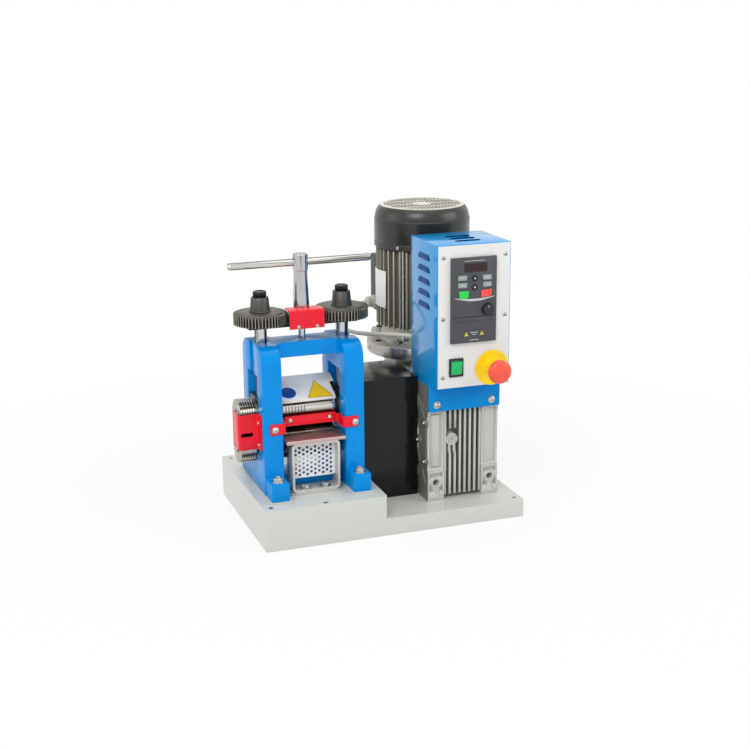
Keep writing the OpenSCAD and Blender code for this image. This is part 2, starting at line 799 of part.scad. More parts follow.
// round cable through the points above, one ring of points at each
module cable_sweep(p, d, n) {
  m = len(p) - 1;
  dirs = [for (i = [0 : m]) let (v = p[min(i + 1, m)] - p[max(i - 1, 0)]) v / norm(v)];
  pts = [for (i = [0 : m]) let (t = dirs[i],
                               h = i == 0 ? [-1, 0, 0] : i == m ? [0, -1, 0] : t,
                               u0 = cross(h, [0, 0, 1]), u = u0 / norm(u0), w = cross(h, u))
         for (k = [0 : n - 1]) p[i] + d / 2 * (cos(360 * k / n) * u + sin(360 * k / n) * w)];
  quads = [for (i = [0 : m - 1], k = [0 : n - 1])
           [i * n + k, i * n + (k + 1) % n, (i + 1) * n + (k + 1) % n, (i + 1) * n + k]];
  caps = [[for (k = [n - 1 : -1 : 0]) k], [for (k = [0 : n - 1]) m * n + k]];
  polyhedron(pts, concat(quads, caps));
}

module motor_cable() at_base() color("#b9b6ae") cable_sweep(cable_path, cable_dia, 12);

// thin plate curved round the tips of the fins
module name_plate() at_base() color("#dcdcd8") {
  r = motor_dia / 2 + 0.05;
  intersection() {
    difference() {
      zcyl(worm_x, worm_z_y, plate_z, r + plate_t, plate_h);
      zcyl(worm_x, worm_z_y, plate_z - 1, r, plate_h + 2);
    }
    box(worm_x - motor_dia, worm_z_y - plate_w / 2, plate_z - 1, motor_dia, plate_w, plate_h + 2);
  }
}

// ---- control box ----
module control_bracket() at_base() color("#0088e6") difference() {
  union() {
    box(box_x, bracket_y, bracket_z, box_w, bracket_t, gear_top + bracket_t - bracket_z);
    box(box_x, bracket_y, gear_top, box_w, box_y + box_d - bracket_y, bracket_t);
  }
  for (x = [-1, 1])
    ycyl(worm_x + x * hole_gap_x / 2, bracket_y - 1, bracket_bolt_z, fix_hole_r, bracket_t + 2);
}

module control_box() at_base() color("#0088e6") difference() {
  box(box_x, box_y, box_z, box_w, box_d, box_h);
  for (i = [0 : louver_n - 1])
    box(box_x - 1, box_y + 30, louver_z0 + i * louver_pitch, 3, louver_l, louver_t);
  switch_pocket(panel_t + 4);
}

// room behind the panel face for the rocker
module switch_pocket(l)
  box(switch_x - rocker_w / 2 - rocker_gap, panel_y - 1, switch_z - rocker_h / 2 - rocker_gap,
      rocker_w + 2 * rocker_gap, l + 1, rocker_h + 2 * rocker_gap);

module control_panel() at_base() color("#e1dede") difference() {
  box(box_x, panel_y, box_z, box_w, panel_t, box_h);
  switch_pocket(panel_t + 1);
}

module drive_unit() at_base() color("#4b4b50") difference() {
  box(vfd_x, panel_y - vfd_t, vfd_z, vfd_w, vfd_t, vfd_h);
  ycyl(dial_x, panel_y - vfd_t - 1, dial_z, dial_dia / 2 + 0.5, 3);
}

module dial_knob() at_base() color("#232325")
  ycyl(dial_x, panel_y - vfd_t - 6, dial_z, dial_dia / 2, 8);

module switch_frame() at_base() color("#1c1c1e") difference() {
  box(switch_x - switch_w / 2, panel_y - 3, switch_z - switch_h / 2, switch_w, 3, switch_h);
  box(switch_x - rocker_w / 2 - rocker_gap, panel_y - 4, switch_z - rocker_h / 2 - rocker_gap,
      rocker_w + 2 * rocker_gap, 5, rocker_h + 2 * rocker_gap);
}

module switch_rocker() at_base() color("#00aa5a") {
  translate([switch_x - rocker_w / 2, panel_y, switch_z]) rotate([90, 0, 90])
    linear_extrude(rocker_w) polygon([[-1, -rocker_r], [-3.4, -rocker_r], [-4.4, 0],
      [-7, rocker_r], [-1, rocker_r]]);
  xcyl(switch_x - rocker_w / 2, panel_y, switch_z, rocker_pin, rocker_w);
}

module stop_collar() at_base() color("#facd00") difference() {
  union() {
    ycyl(stop_x, panel_y - 2, stop_z, collar_dia / 2, 2);
    ycyl(stop_x, panel_y - 2 - collar_t - stem_l, stop_z, stem_dia / 2, collar_t + stem_l + e);
  }
  ycyl(stop_x, panel_y - 30, stop_z, stop_shaft_r + fit, 30);
}

module stop_button() at_base() color("#e62d2d") {
  y = panel_y - 2 - collar_t - stem_l - button_throw - button_t;
  ycyl(stop_x, y + 4, stop_z, button_dia / 2, button_t - 4);
  translate([stop_x, y + 4 + e, stop_z]) rotate([90, 0, 0])
    cylinder(h = 4, r1 = button_dia / 2, r2 = button_dia / 2 - 4);
  ycyl(stop_x, y + button_t - e, stop_z, stop_shaft_r, button_throw + 12);
}

base_pan();
left_pad();
right_pad();
left_housing();
right_housing();
top_bridge();
lower_tie();
lower_roll();
upper_roll();
lower_ring();
upper_ring();
left_chock();
right_chock();
left_screw();
right_screw();
left_gear();
right_gear();
gear_bar();
gear_cover();
pinion();
handle_shaft();
handle_bar();
guide_spindle();
table_tube();
table_plate();
perforated_screen();
guard_strap();
guard_bar();
ring_guard();
rear_plate();
drive_cover();
gearbox();
output_flange();
input_flange();
motor_body();
fan_cowl();
terminal_box();
cable_gland();
motor_cable();
name_plate();
control_bracket();
control_box();
control_panel();
drive_unit();
dial_knob();
switch_frame();
switch_rocker();
stop_collar();
stop_button();
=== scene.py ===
"""Looks of the electric rolling mill: pieces, materials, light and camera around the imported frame.

Sizes and places are in mm from the front left bottom corner of the base, except where a
comment says metres.
"""
import json
import math
import bpy
import bmesh
from mathutils import Vector, Matrix


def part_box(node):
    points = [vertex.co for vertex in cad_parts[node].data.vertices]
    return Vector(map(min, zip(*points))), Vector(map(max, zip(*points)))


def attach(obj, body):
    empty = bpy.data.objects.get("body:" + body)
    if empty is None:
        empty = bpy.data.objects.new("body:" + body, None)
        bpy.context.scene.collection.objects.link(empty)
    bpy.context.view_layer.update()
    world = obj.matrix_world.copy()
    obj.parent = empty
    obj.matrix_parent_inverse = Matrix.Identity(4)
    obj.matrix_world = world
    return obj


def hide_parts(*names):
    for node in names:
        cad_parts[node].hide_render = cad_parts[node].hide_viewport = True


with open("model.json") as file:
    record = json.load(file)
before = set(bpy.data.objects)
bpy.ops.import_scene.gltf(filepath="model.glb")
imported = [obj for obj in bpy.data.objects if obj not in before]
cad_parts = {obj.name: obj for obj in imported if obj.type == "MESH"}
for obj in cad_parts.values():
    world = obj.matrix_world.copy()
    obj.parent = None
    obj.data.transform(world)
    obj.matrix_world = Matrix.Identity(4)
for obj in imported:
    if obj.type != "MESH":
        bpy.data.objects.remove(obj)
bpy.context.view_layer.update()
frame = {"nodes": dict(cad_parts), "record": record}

MM = 0.001
ROW = Vector((0.2305, 0.150, 0.0))        # the frame's origin, in metres from the base's corner
scene = bpy.context.scene


def P(x, y, z):
    """A base-corner point in mm as a point of the shared frame in metres."""
    return Vector((x * MM, y * MM, z * MM)) - ROW


# ---------------- camera
CAM_AT = (-0.7505, -2.1452, 0.8658)       # metres, in the shared frame
YAW, PITCH, ROLL = (math.radians(a) for a in (19.57, 15.45, -0.51))
cam_data = bpy.data.cameras.new("camera")
cam_data.sensor_width = 36.0
cam_data.sensor_fit = "HORIZONTAL"
cam_data.lens = 65.395
cam_data.clip_start = 0.05
cam_data.clip_end = 60.0
camera = bpy.data.objects.new("camera", cam_data)
scene.collection.objects.link(camera)
back = Vector((-math.sin(YAW) * math.cos(PITCH), -math.cos(YAW) * math.cos(PITCH), math.sin(PITCH)))
right = Vector((math.cos(YAW), -math.sin(YAW), 0.0))
up = back.cross(right)
right_r = math.cos(ROLL) * right + math.sin(ROLL) * up
up_r = -math.sin(ROLL) * right + math.cos(ROLL) * up
turn = Matrix((right_r, up_r, back)).transposed().to_4x4()
camera.matrix_world = Matrix.Translation(CAM_AT) @ turn
scene.camera = camera


# ---------------- materials
def lin(rgb):
    """An sRGB colour of 0 to 255 as a linear colour with alpha."""
    out = []
    for c in rgb:
        c /= 255.0
        out.append(c / 12.92 if c <= 0.04045 else ((c + 0.055) / 1.055) ** 2.4)
    return tuple(out) + (1.0,)


def shades(rgb, dark, light):
    """A darker and a lighter shade of a colour."""
    base = lin(rgb)[:3]
    return [tuple(min(1, c * share) for c in base) + (1,) for share in (dark, light)]


def add(tree, kind, inputs=None, **settings):
    """Adds a shader node. An input given as a socket is linked, any other value is set."""
    n = tree.nodes.new("ShaderNode" + kind)
    for key, value in settings.items():
        setattr(n, key, value)
    for key, value in (inputs or {}).items():
        if isinstance(value, bpy.types.NodeSocket):
            tree.links.new(value, n.inputs[key])
        else:
            n.inputs[key].default_value = value
    return n


class Mat:
    """A small builder for a procedural Principled material."""

    def __init__(self, name):
        self.m = bpy.data.materials.new(name)
        self.m.use_nodes = True
        self.t = self.m.node_tree
        self.place = add(self.t, "TexCoord").outputs["Object"]
        self.relief = None

    def noise(self, scale, detail, rough, stretch=None):
        where = self.place
        if stretch:
            where = add(self.t, "Mapping", {"Vector": where, "Scale": stretch}).outputs["Vector"]
        return add(self.t, "TexNoise", {"Vector": where, "Scale": scale, "Detail": detail,
                "Roughness": rough}).outputs["Fac"]

    def ramp(self, src, a, b, colours):
        """The first colour up to a, the second from b, and a blend between them."""
        r = add(self.t, "ValToRGB", {"Fac": src})
        for stop, position, colour in zip(r.color_ramp.elements, (a, b), colours):
            stop.position = position
            stop.color = colour
        return r.outputs["Color"]

    def span(self, src, lo, hi, a=0.3, b=0.7):
        """Maps a to b onto lo to hi."""
        return add(self.t, "MapRange", {"Value": src, "From Min": a, "From Max": b,
                "To Min": lo, "To Max": hi}).outputs["Result"]

    def mix(self, share, a, b):
        return add(self.t, "Mix", {0: share, 6: a, 7: b}, data_type="RGBA").outputs[2]

    def math(self, operation, *values):
        return add(self.t, "Math", dict(enumerate(values)), operation=operation).outputs[0]

    def bump(self, height, strength, distance):
        inputs = {"Height": height, "Strength": strength, "Distance": distance}
        if self.relief is not None:
            inputs["Normal"] = self.relief
        self.relief = add(self.t, "Bump", inputs).outputs["Normal"]

    def done(self, colour, rough, **constants):
        """Links the colour, roughness and relief to the shader and sets its constants."""
        shader = self.t.nodes["Principled BSDF"]
        for key, src in (("Base Color", colour), ("Roughness", rough), ("Normal", self.relief)):
            self.t.links.new(src, shader.inputs[key])
        for key, value in constants.items():
            shader.inputs[key.replace("_", " ")].default_value = value
        return self.m


def enamel(name, rgb, rough, ior, peel, peel_scale, dark, light):
    """Sprayed gloss paint: orange peel, faint cloudiness and dust in the gloss."""
    k = Mat(name)
    colour = k.ramp(k.noise(9.0, 4.0, 0.6), 0.30, 0.70, shades(rgb, dark, light))
    gloss = k.span(k.noise(38.0, 5.0, 0.65), max(0.04, rough - 0.06), rough + 0.08)
    k.bump(k.noise(peel_scale, 2.0, 0.5), peel, 0.0004)
    return k.done(colour, gloss, IOR=ior)


def cast_enamel(name, rgb):
    """Gloss paint over a sand casting: broad soft waviness below the orange peel."""
    k = Mat(name)
    colour = k.ramp(k.noise(13.0, 5.0, 0.6), 0.28, 0.72, shades(rgb, 0.90, 1.05))
    gloss = k.span(k.noise(45.0, 5.0, 0.65), 0.12, 0.24)
    k.bump(k.noise(52.0, 3.0, 0.55), 0.20, 0.0010)
    k.bump(k.noise(320.0, 2.0, 0.5), 0.07, 0.0003)
    return k.done(colour, gloss, IOR=1.24)


def steel(name, rgb, rough, lines, line_strength, spots, metallic=1.0):
    """Machined steel: lay of the tool along one direction, handling marks in the gloss."""
    k = Mat(name)
    lay = k.noise(60.0 if lines else 140.0, 5.0, 0.7, lines)
    colour = k.ramp(lay, 0.25, 0.75, shades(rgb, 0.80, 1.10))
    gloss = k.span(k.noise(26.0, 5.0, 0.65), max(0.03, rough - 0.08), rough + spots)
    k.bump(lay, line_strength, 0.0002)
    return k.done(colour, gloss, Metallic=metallic)


def painted_reflection_streaks(name, axis, dark, light, scale, rough, mid=0.5, level=None):
    """Bright steel polished along one axis, with dark and light streaks along the polish in its
    colour, which are painted reflections.

    level is the height and radius of a level bar, whose upper and lower parts take a painted dark
    reflection.
    """
    k = Mat(name)
    stretch = tuple(0.03 if a == axis else 1 for a in "xyz")
    # painted reflection: dark and light streaks along the axis in the base colour
    colour = k.ramp(k.noise(scale, 1.5, 0.5, stretch), mid - 0.10, mid + 0.08,
            (lin(dark), lin(light)))
    smear = k.noise(26.0, 5.0, 0.65)
    middle = lin((a + b) / 2 for a, b in zip(dark, light))
    colour = k.mix(k.span(smear, 0.0, 0.22), colour, middle)
    # painted reflection: the bar's upper and lower parts turn towards the dark colour
    if level:
        height, radius = level
        z = add(k.t, "SeparateXYZ", {"Vector": k.place}).outputs["Z"]
        off = k.math("ABSOLUTE", k.math("SUBTRACT", z, height * MM))
        flank_reflection_shade = k.span(off, 0.0, 0.85, 0.66 * radius * MM, 0.88 * radius * MM)
        colour = k.mix(flank_reflection_shade, colour, lin(dark))
    gloss = k.span(smear, max(0.03, rough - 0.05), rough + 0.07)
    k.bump(k.noise(scale * 6, 3.0, 0.6, stretch), 0.04, 0.0001)
    return k.done(colour, gloss, Metallic=1.0)


def casting(name, rgb, rough, grain, strength, metallic, dark):
    """Sand or die casting: fine grain, pitting and patchy tone."""
    k = Mat(name)
    patch = k.noise(17.0, 6.0, 0.65)
    fine = k.noise(grain * 0.35, 3.0, 0.6)
    both = shades(rgb, dark, 1.06)
    colour = k.mix(0.35, k.ramp(patch, 0.3, 0.68, both), k.ramp(fine, 0.35, 0.6, both))
    gloss = k.span(patch, rough - 0.10, rough + 0.12)
    k.bump(k.noise(grain, 2.0, 0.5), strength, 0.0003)
    k.bump(k.noise(80.0, 3.0, 0.5), strength * 0.4, 0.0006)
    return k.done(colour, gloss, Metallic=metallic, IOR=1.38)


def plastic(name, rgb, rough, grain, strength, ior=1.38, glow=0.0):
    """Moulded plastic: fine spark texture, slight shade changes, and light inside if glow."""
    k = Mat(name)
    colour = k.ramp(k.noise(35.0, 4.0, 0.6), 0.3, 0.7, shades(rgb, 0.90, 1.07))
    gloss = k.span(k.noise(70.0, 4.0, 0.6), max(0.05, rough - 0.07), rough + 0.08)
    k.bump(k.noise(grain, 1.0, 0.5), strength, 0.0002)
    inner = {"Subsurface_Weight": glow, "Subsurface_Scale": 0.002} if glow else {}
    return k.done(colour, gloss, IOR=ior, **inner)


ACROSS, ALONG, UPWARD = (50, 1, 1), (1, 30, 1), (1, 1, 30)      # lay of a machined face
RECIPES = {
    # colour, roughness, IOR, orange peel and its scale, dark and light share
    enamel: {
        "base_paint": ((207, 208, 201), 0.12, 1.42, 0.02, 120.0, 0.988, 1.008),
        "pad_paint": ((203, 206, 200), 0.28, 1.38, 0.08, 220.0, 0.96, 1.02),
        "blue_front": ((0, 137, 212), 0.20, 1.22, 0.05, 260.0, 0.96, 1.03),
        "blue_sheet": ((0, 150, 218), 0.09, 1.62, 0.05, 260.0, 0.95, 1.04),
        # painted shade: a darker copy of the box's blue for the pressed louver hoods
        "blue_louver": ((0, 70, 132), 0.26, 1.20, 0.05, 260.0, 0.93, 1.05),
        "dark_steel": ((36, 35, 34), 0.36, 1.36, 0.12, 300.0, 0.85, 1.1),
        "red_paint": ((236, 22, 44), 0.22, 1.36, 0.08, 260.0, 0.93, 1.04),
        "screen_white": ((238, 238, 242), 0.30, 1.40, 0.05, 260.0, 0.97, 1.01),
        "sheet_grey": ((240, 235, 224), 0.36, 1.45, 0.06, 260.0, 0.96, 1.02),
        "cover_black": ((16, 17, 15), 0.16, 1.36, 0.06, 220.0, 0.88, 1.10),
        "cowl_black": ((45, 44, 42), 0.28, 1.48, 0.10, 420.0, 0.90, 1.07),
        "grille": ((214, 207, 195), 0.34, 1.40, 0.08, 420.0, 0.90, 1.06),
        "panel_grey": ((226, 226, 223), 0.40, 1.34, 0.05, 500.0, 0.985, 1.01),
        "tag_white": ((240, 242, 246), 0.34, 1.36, 0.03, 300.0, 0.98, 1.01),
        "tag_blue": ((14, 74, 146), 0.34, 1.36, 0.03, 300.0, 0.94, 1.04),
        "tag_yellow": ((250, 206, 6), 0.34, 1.36, 0.03, 300.0, 0.95, 1.02),
        "tag_rim": ((190, 146, 8), 0.38, 1.36, 0.03, 300.0, 0.92, 1.04),
        "tri_yellow": ((205, 190, 70), 0.40, 1.36, 0.03, 300.0, 0.95, 1.02),
    },
    cast_enamel: {"blue_paint": ((0, 143, 224),)},
    # axis, dark and light colour of the painted reflection streaks, scale, roughness, middle of the
    # ramp, level bar
    painted_reflection_streaks: {
        "roll_steel": ("x", (104, 88, 80), (232, 228, 222), 75.0, 0.12),
        "ring_steel": ("x", (60, 54, 48), (224, 216, 204), 120.0, 0.18),
        "screw_chrome": ("z", (38, 40, 44), (208, 210, 212), 150.0, 0.10),
        "handle_chrome": ("x", (66, 64, 61), (226, 223, 218), 210.0, 0.14, 0.46, (449.5, 6.0)),
        "shaft_chrome": ("z", (40, 42, 42), (196, 197, 196), 125.0, 0.09, 0.47),
    },
    # colour, roughness, lay, its strength, spots, metallic
    steel: {
        "end_steel": ((176, 171, 163), 0.30, None, 0.10, 0.12),
        "chock_steel": ((96, 93, 90), 0.34, None, 0.10, 0.12),
        "gear_steel": ((88, 85, 78), 0.36, None, 0.12, 0.14),
        "gear_face": ((114, 112, 106), 0.46, None, 0.55, 0.16),
        # painted highlight: a light colour for thin strips on the gear teeth tips
        "gear_edge": ((206, 200, 188), 0.30, None, 0.10, 0.10),
        "hub_steel": ((86, 85, 82), 0.44, UPWARD, 0.10, 0.10),
        "black_oxide": ((50, 50, 50), 0.42, None, 0.15, 0.12),
        "tube_metal": ((214, 211, 204), 0.34, ALONG, 0.08, 0.12, 0.5),
        # painted reflection: the pinkish tint of this grey steel stands for the red guard reflected
        # in the table's top
        "table_steel": ((206, 182, 176), 0.42, ACROSS, 0.05, 0.10),
        # painted highlight: a lighter colour for the motor's fin tips
        "fin_edge": ((158, 153, 140), 0.34, (1, 1, 20), 0.10, 0.12, 0.7),
        "flange_rim": ((176, 172, 165), 0.22, UPWARD, 0.10, 0.12, 0.9),
        "plate_metal": ((234, 234, 231), 0.45, (1, 60, 1), 0.08, 0.10, 0.4),
        "zinc": ((198, 197, 191), 0.24, None, 0.14, 0.14),
    },
    # colour, roughness, grain, its strength, metallic, dark share
    casting: {
        "gearbox_grey": ((194, 193, 186), 0.42, 700.0, 0.20, 0.10, 0.88),
        # painted shade: a darker copy of the gearbox casting for the faces between its front ribs
        "gearbox_gap": ((124, 123, 117), 0.50, 700.0, 0.30, 0.10, 0.72),
        # painted shade: a darker copy of the gearbox casting for its left side, which lies in shade
        # beside the drive cover
        "gearbox_side": ((132, 131, 124), 0.44, 700.0, 0.34, 0.25, 0.62),
        "flange_cast": ((176, 172, 163), 0.36, 800.0, 0.22, 0.45, 0.84),
        "motor_cast": ((122, 118, 107), 0.44, 900.0, 0.26, 0.25, 0.80),
        "shield_cast": ((214, 210, 198), 0.42, 800.0, 0.24, 0.25, 0.84),
    },
    # colour, roughness, grain, its strength, IOR, light inside
    plastic: {
        # painted shade: black for the inside of holes, openings and the cowl; also a dark seam on
        # the drive unit
        "hollow": ((12, 12, 12), 0.8, 400.0, 0.10, 1.02),
        "terminal_plastic": ((52, 51, 49), 0.42, 900.0, 0.25),
        "gland_plastic": ((196, 195, 185), 0.38, 900.0, 0.12, 1.38, 0.1),
        "cable_sheath": ((206, 202, 190), 0.48, 700.0, 0.15),
        "drive_plastic": ((74, 74, 78), 0.46, 1300.0, 0.22),
        "drive_edge": ((50, 50, 54), 0.50, 1300.0, 0.22),
        "key_grey": ((150, 163, 160), 0.30, 1000.0, 0.10),
        "key_dark": ((36, 38, 40), 0.30, 1000.0, 0.10),
        "key_green": ((48, 208, 84), 0.28, 1000.0, 0.08),
        "key_red": ((240, 84, 80), 0.28, 1000.0, 0.08),
        "arc_silver": ((196, 197, 198), 0.30, 1000.0, 0.06),
        "display": ((34, 16, 18), 0.10, 500.0, 0.02, 1.45),
        "segment": ((84, 30, 34), 0.25, 500.0, 0.02),
        "print_white": ((215, 215, 215), 0.5, 900.0, 0.03),
        "dial_plastic": ((48, 48, 52), 0.32, 900.0, 0.12),
        "switch_black": ((24, 25, 26), 0.34, 900.0, 0.10),
        "rocker_green": ((0, 186, 96), 0.16, 500.0, 0.03, 1.45, 0.15),
        "stop_yellow": ((253, 214, 18), 0.34, 900.0, 0.08),
        "stop_red": ((248, 92, 68), 0.20, 500.0, 0.03, 1.42, 0.1),
        "socket": ((30, 30, 30), 0.6, 400.0, 0.1),
    # painted shade: near black for sockets, slots, countersinks and a recess, drawn shallow or flat
    },
}
M = {name: kind(name, *values) for kind, rows in RECIPES.items() for name, values in rows.items()}


# ---------------- mesh helpers
def link(obj):
    scene.collection.objects.link(obj)
    return obj


def to_obj(name, bm, mat, smooth=35.0):
    bm.normal_update()
    me = bpy.data.meshes.new(name)
    bm.to_mesh(me)
    bm.free()
    me.materials.append(M[mat])
    obj = link(bpy.data.objects.new(name, me))
    shade(obj, smooth)
    return obj


def shade(obj, angle):
    """Shades smooth, with sharp edges where faces meet at more than the angle in degrees."""
    me = obj.data
    for p in me.polygons:
        p.use_smooth = True
    bm = bmesh.new()
    bm.from_mesh(me)
    lim = math.radians(angle)
    for e in bm.edges:
        e.smooth = len(e.link_faces) == 2 and e.calc_face_angle(0.0) < lim
    bm.to_mesh(me)
    bm.free()


def baked(obj):
    """Applies the modifiers of obj."""
    dg = bpy.context.evaluated_depsgraph_get()
    dg.update()
    me = bpy.data.meshes.new_from_object(obj.evaluated_get(dg), depsgraph=dg)
    old = obj.data
    obj.modifiers.clear()
    obj.data = me
    bpy.data.meshes.remove(old)
    return obj


def bevel(obj, width, segments=2, angle=35.0):
    m = obj.modifiers.new("bevel", "BEVEL")
    m.width = width * MM
    m.segments = segments
    m.limit_method = "ANGLE"
    m.angle_limit = math.radians(angle)
    m.use_clamp_overlap = True
    m.harden_normals = False
    baked(obj)
    shade(obj, 50.0)
    return obj


def boolean(obj, cutter):
    """Cuts the cutter out of obj and removes the cutter."""
    m = obj.modifiers.new("cut", "BOOLEAN")
    m.operation = "DIFFERENCE"
    m.object = cutter
    m.solver = "EXACT"
    baked(obj)
    bpy.data.objects.remove(cutter)
    return obj


def slab(name, lo, hi, mat):
    """A box with sharp edges between two opposite corners."""
    bm = bmesh.new()
    lo, hi = P(*lo), P(*hi)
    v = [bm.verts.new((x, y, z)) for x in (lo.x, hi.x) for y in (lo.y, hi.y) for z in (lo.z, hi.z)]
    for f in ((0, 1, 3, 2), (4, 6, 7, 5), (0, 4, 5, 1), (2, 3, 7, 6), (0, 2, 6, 4), (1, 5, 7, 3)):
        bm.faces.new([v[i] for i in f])
    return to_obj(name, bm, mat)


def box(name, x, y, z, w, d, h, mat, b=0.6, seg=2):
    """A box of width w, depth d and height h, with rounded edges if b."""
    obj = slab(name, (x, y, z), (x + w, y + d, z + h), mat)
    if b > 0:
        bevel(obj, b, seg)
    return obj


def dressed(node, mat, b=0.7, seg=2, angle=30.0):
    """The CAD node's own form with rounded edges."""
    src = frame["nodes"][node]
    bm = bmesh.new()
    bm.from_mesh(src.data)
    bmesh.ops.remove_doubles(bm, verts=bm.verts, dist=0.000004)
    bmesh.ops.dissolve_limit(bm, angle_limit=math.radians(0.6), verts=bm.verts, edges=bm.edges,
            use_dissolve_boundaries=False)
    return bevel(to_obj(node + "_skin", bm, mat), b, seg, angle)


def recolour(obj, mat, test):
    """Gives the faces whose middle passes the test another material."""
    obj.data.materials.append(M[mat])
    slot = len(obj.data.materials) - 1
    for p in obj.data.polygons:
        if test((p.center + ROW) / MM):
            p.material_index = slot
    return obj


BODY = {n: body for body, names in frame["record"]["behaviour"]["bodies"].items() for n in names}
SLOTS = {s["node"]: s["material_slot"] for s in frame["record"]["subparts"]}


def stands_for(obj, node):
    """obj is drawn instead of the node, on the node's body."""
    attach(obj, BODY[node])
    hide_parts(node)
    return obj


def dress(node, *look):
    stands_for(dressed(node, *look), node)


def rides(obj, body="frame"):
    """obj is an extra piece on a body."""
    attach(obj, body)


def walls(bm, a, b):
    """Quads between two closed loops with as many points."""
    for i in range(len(a)):
        j = (i + 1) % len(a)
        bm.faces.new((a[i], a[j], b[j], b[i]))


def loft(name, pairs, mat, smooth=35.0):
    """Solids between pairs of outlines, whose points are in metres."""
    bm = bmesh.new()
    for start, end in pairs:
        a = [bm.verts.new(p) for p in start]
        b = [bm.verts.new(p) for p in end]
        bm.faces.new(a)
        bm.faces.new(b)
        walls(bm, a, b)
    bmesh.ops.recalc_face_normals(bm, faces=bm.faces)
    return to_obj(name, bm, mat, smooth)


def lathe(name, profile, origin, axis, mat, seg=64, smooth=30.0, ring=False):
    """Turns profile [(radius, along), ...] round axis through origin.

    A ring joins the profile's end to its start.
    """
    bm = bmesh.new()
    o = P(*origin)
    unit = [Vector((1, 0, 0)), Vector((0, 1, 0)), Vector((0, 0, 1))]
    first = "xyz".index(axis)
    ax = unit[first:] + unit[:first]
    rings = []
    for r, t in profile:
        mid = o + ax[0] * t * MM
        if r < 1e-6:
            rings.append([bm.verts.new(mid)])
            continue
        turn = [2 * math.pi * i / seg for i in range(seg)]
        rings.append([bm.verts.new(mid + r * MM * (ax[1] * math.cos(a) + ax[2] * math.sin(a)))
                for a in turn])
    for a, b in zip(rings, rings[1:] + (rings[:1] if ring else [])):
        if len(a) > 1 and len(b) > 1:
            walls(bm, a, b)
            continue
        for i in range(seg if len(a) + len(b) > 2 else 0):
            j = (i + 1) % seg
            bm.faces.new((a[0], b[j], b[i]) if len(a) == 1 else (a[i], a[j], b[0]))
    bmesh.ops.recalc_face_normals(bm, faces=bm.faces)
    return to_obj(name, bm, mat, smooth)


def rod(name, r, start, end, *place):
    """A plain cylinder; place is the rest of what lathe takes."""
    return lathe(name, [(0, start), (r, start), (r, end), (0, end)], *place)


def prism(name, pts, axis, start, length, mat, b=0.4, seg=2):
    """Extrudes a closed outline in the two other axes (x: y,z  y: x,z  z: x,y)."""
    place = {"x": lambda a, c, t: P(t, a, c), "y": lambda a, c, t: P(a, t, c),
            "z": lambda a, c, t: P(a, c, t)}[axis]
    ends = [[place(a, c, t) for a, c in pts] for t in (start, start + length)]
    obj = loft(name, [ends], mat)
    if b > 0:
        bevel(obj, b, seg)
    return obj


def arc(cx, cy, r, a0, a1, n=6):
    turn = [math.radians(a0 + (a1 - a0) * i / n) for i in range(n + 1)]
    return [(cx + r * math.cos(a), cy + r * math.sin(a)) for a in turn]


def rounded(x, y, w, h, r):
    """Outline of a rectangle with round corners."""
    corners = ((x + w - r, y + r, -90), (x + w - r, y + h - r, 0), (x + r, y + h - r, 90),
            (x + r, y + r, 180))
    return [p for cx, cy, a in corners for p in arc(cx, cy, r, a, a + 90, 5)]


def strip(pts, t, r=3.0, n=5):
    """Outline of a sheet of thickness t bent along pts, with rounded bends."""
    path = [Vector(pts[0])]
    for a, b, c in zip(pts, pts[1:], pts[2:]):
        a, b, c = Vector(a), Vector(b), Vector(c)
        d0, d1 = (b - a).normalized(), (c - b).normalized()
        turn = math.acos(max(-1, min(1, d0.dot(d1))))
        cut = min(r * math.tan(turn / 2), (b - a).length * 0.45, (c - b).length * 0.45)
        s, e = b - d0 * cut, b + d1 * cut
        for i in range(n + 1):
            f = i / n
            path.append((1 - f) ** 2 * s + 2 * f * (1 - f) * b + f * f * e)
    path.append(Vector(pts[-1]))
    left, other = [], []
    for i, p in enumerate(path):
        d = (path[min(i + 1, len(path) - 1)] - path[max(i - 1, 0)]).normalized()
        normal = Vector((-d.y, d.x))
        left.append(tuple(p + normal * t / 2))
        other.append(tuple(p - normal * t / 2))
    return left + other[::-1]


def join(name, objs):
    """Joins meshes into one object, which keeps their materials."""
    bm = bmesh.new()
    mats = []
    for o in objs:
        me = o.data
        index = []
        for m in me.materials:
            if m not in mats:
                mats.append(m)
            index.append(mats.index(m))
        before = len(bm.faces)
        bm.from_mesh(me)
        bm.faces.ensure_lookup_table()
        for f in bm.faces[before:]:
            f.material_index = index[f.material_index] if f.material_index < len(index) else 0
    me = bpy.data.meshes.new(name)
    bm.to_mesh(me)
    bm.free()
    for m in mats:
        me.materials.append(m)
    for o in objs:
        bpy.data.objects.remove(o)
    return link(bpy.data.objects.new(name, me))


def turned(obj, axis, where, degrees):
    """Rotates the mesh about an axis through a point."""
    o = P(*where)
    rot = Matrix.Rotation(math.radians(degrees), 4, axis.upper())
    obj.data.transform(Matrix.Translation(o) @ rot @ Matrix.Translation(-o))
    return obj


def poly(n, r, a0=0.0, cx=0.0, cy=0.0):
    """A regular polygon of n corners."""
    turn = [math.radians(a0 + 360.0 * i / n) for i in range(n)]
    return [(cx + r * math.cos(a), cy + r * math.sin(a)) for a in turn]


def toothed(n, steps, cx, cy):
    """Outline of a wheel of n teeth; steps are (share of the pitch, radius)."""
    turn = [(2 * math.pi * (i + share) / n, r) for i in range(n) for share, r in steps]
    return [(cx + r * math.cos(a), cy + r * math.sin(a)) for a, r in turn]


def circle(cx, cy, r, angles):
    """(x, y, angle) of places on a circle."""
    return [(cx + r * math.cos(math.radians(a)), cy + r * math.sin(math.radians(a)), a)
            for a in angles]


def washer_ring(name, inner, d, t, where, axis, sign, mat):
    prof = [(inner, 0), (d / 2, 0), (d / 2, t - 0.25), (d / 2 - 0.25, t), (inner, t)]
    return lathe(name, [(r, s * sign) for r, s in prof], where, axis, mat, 32)


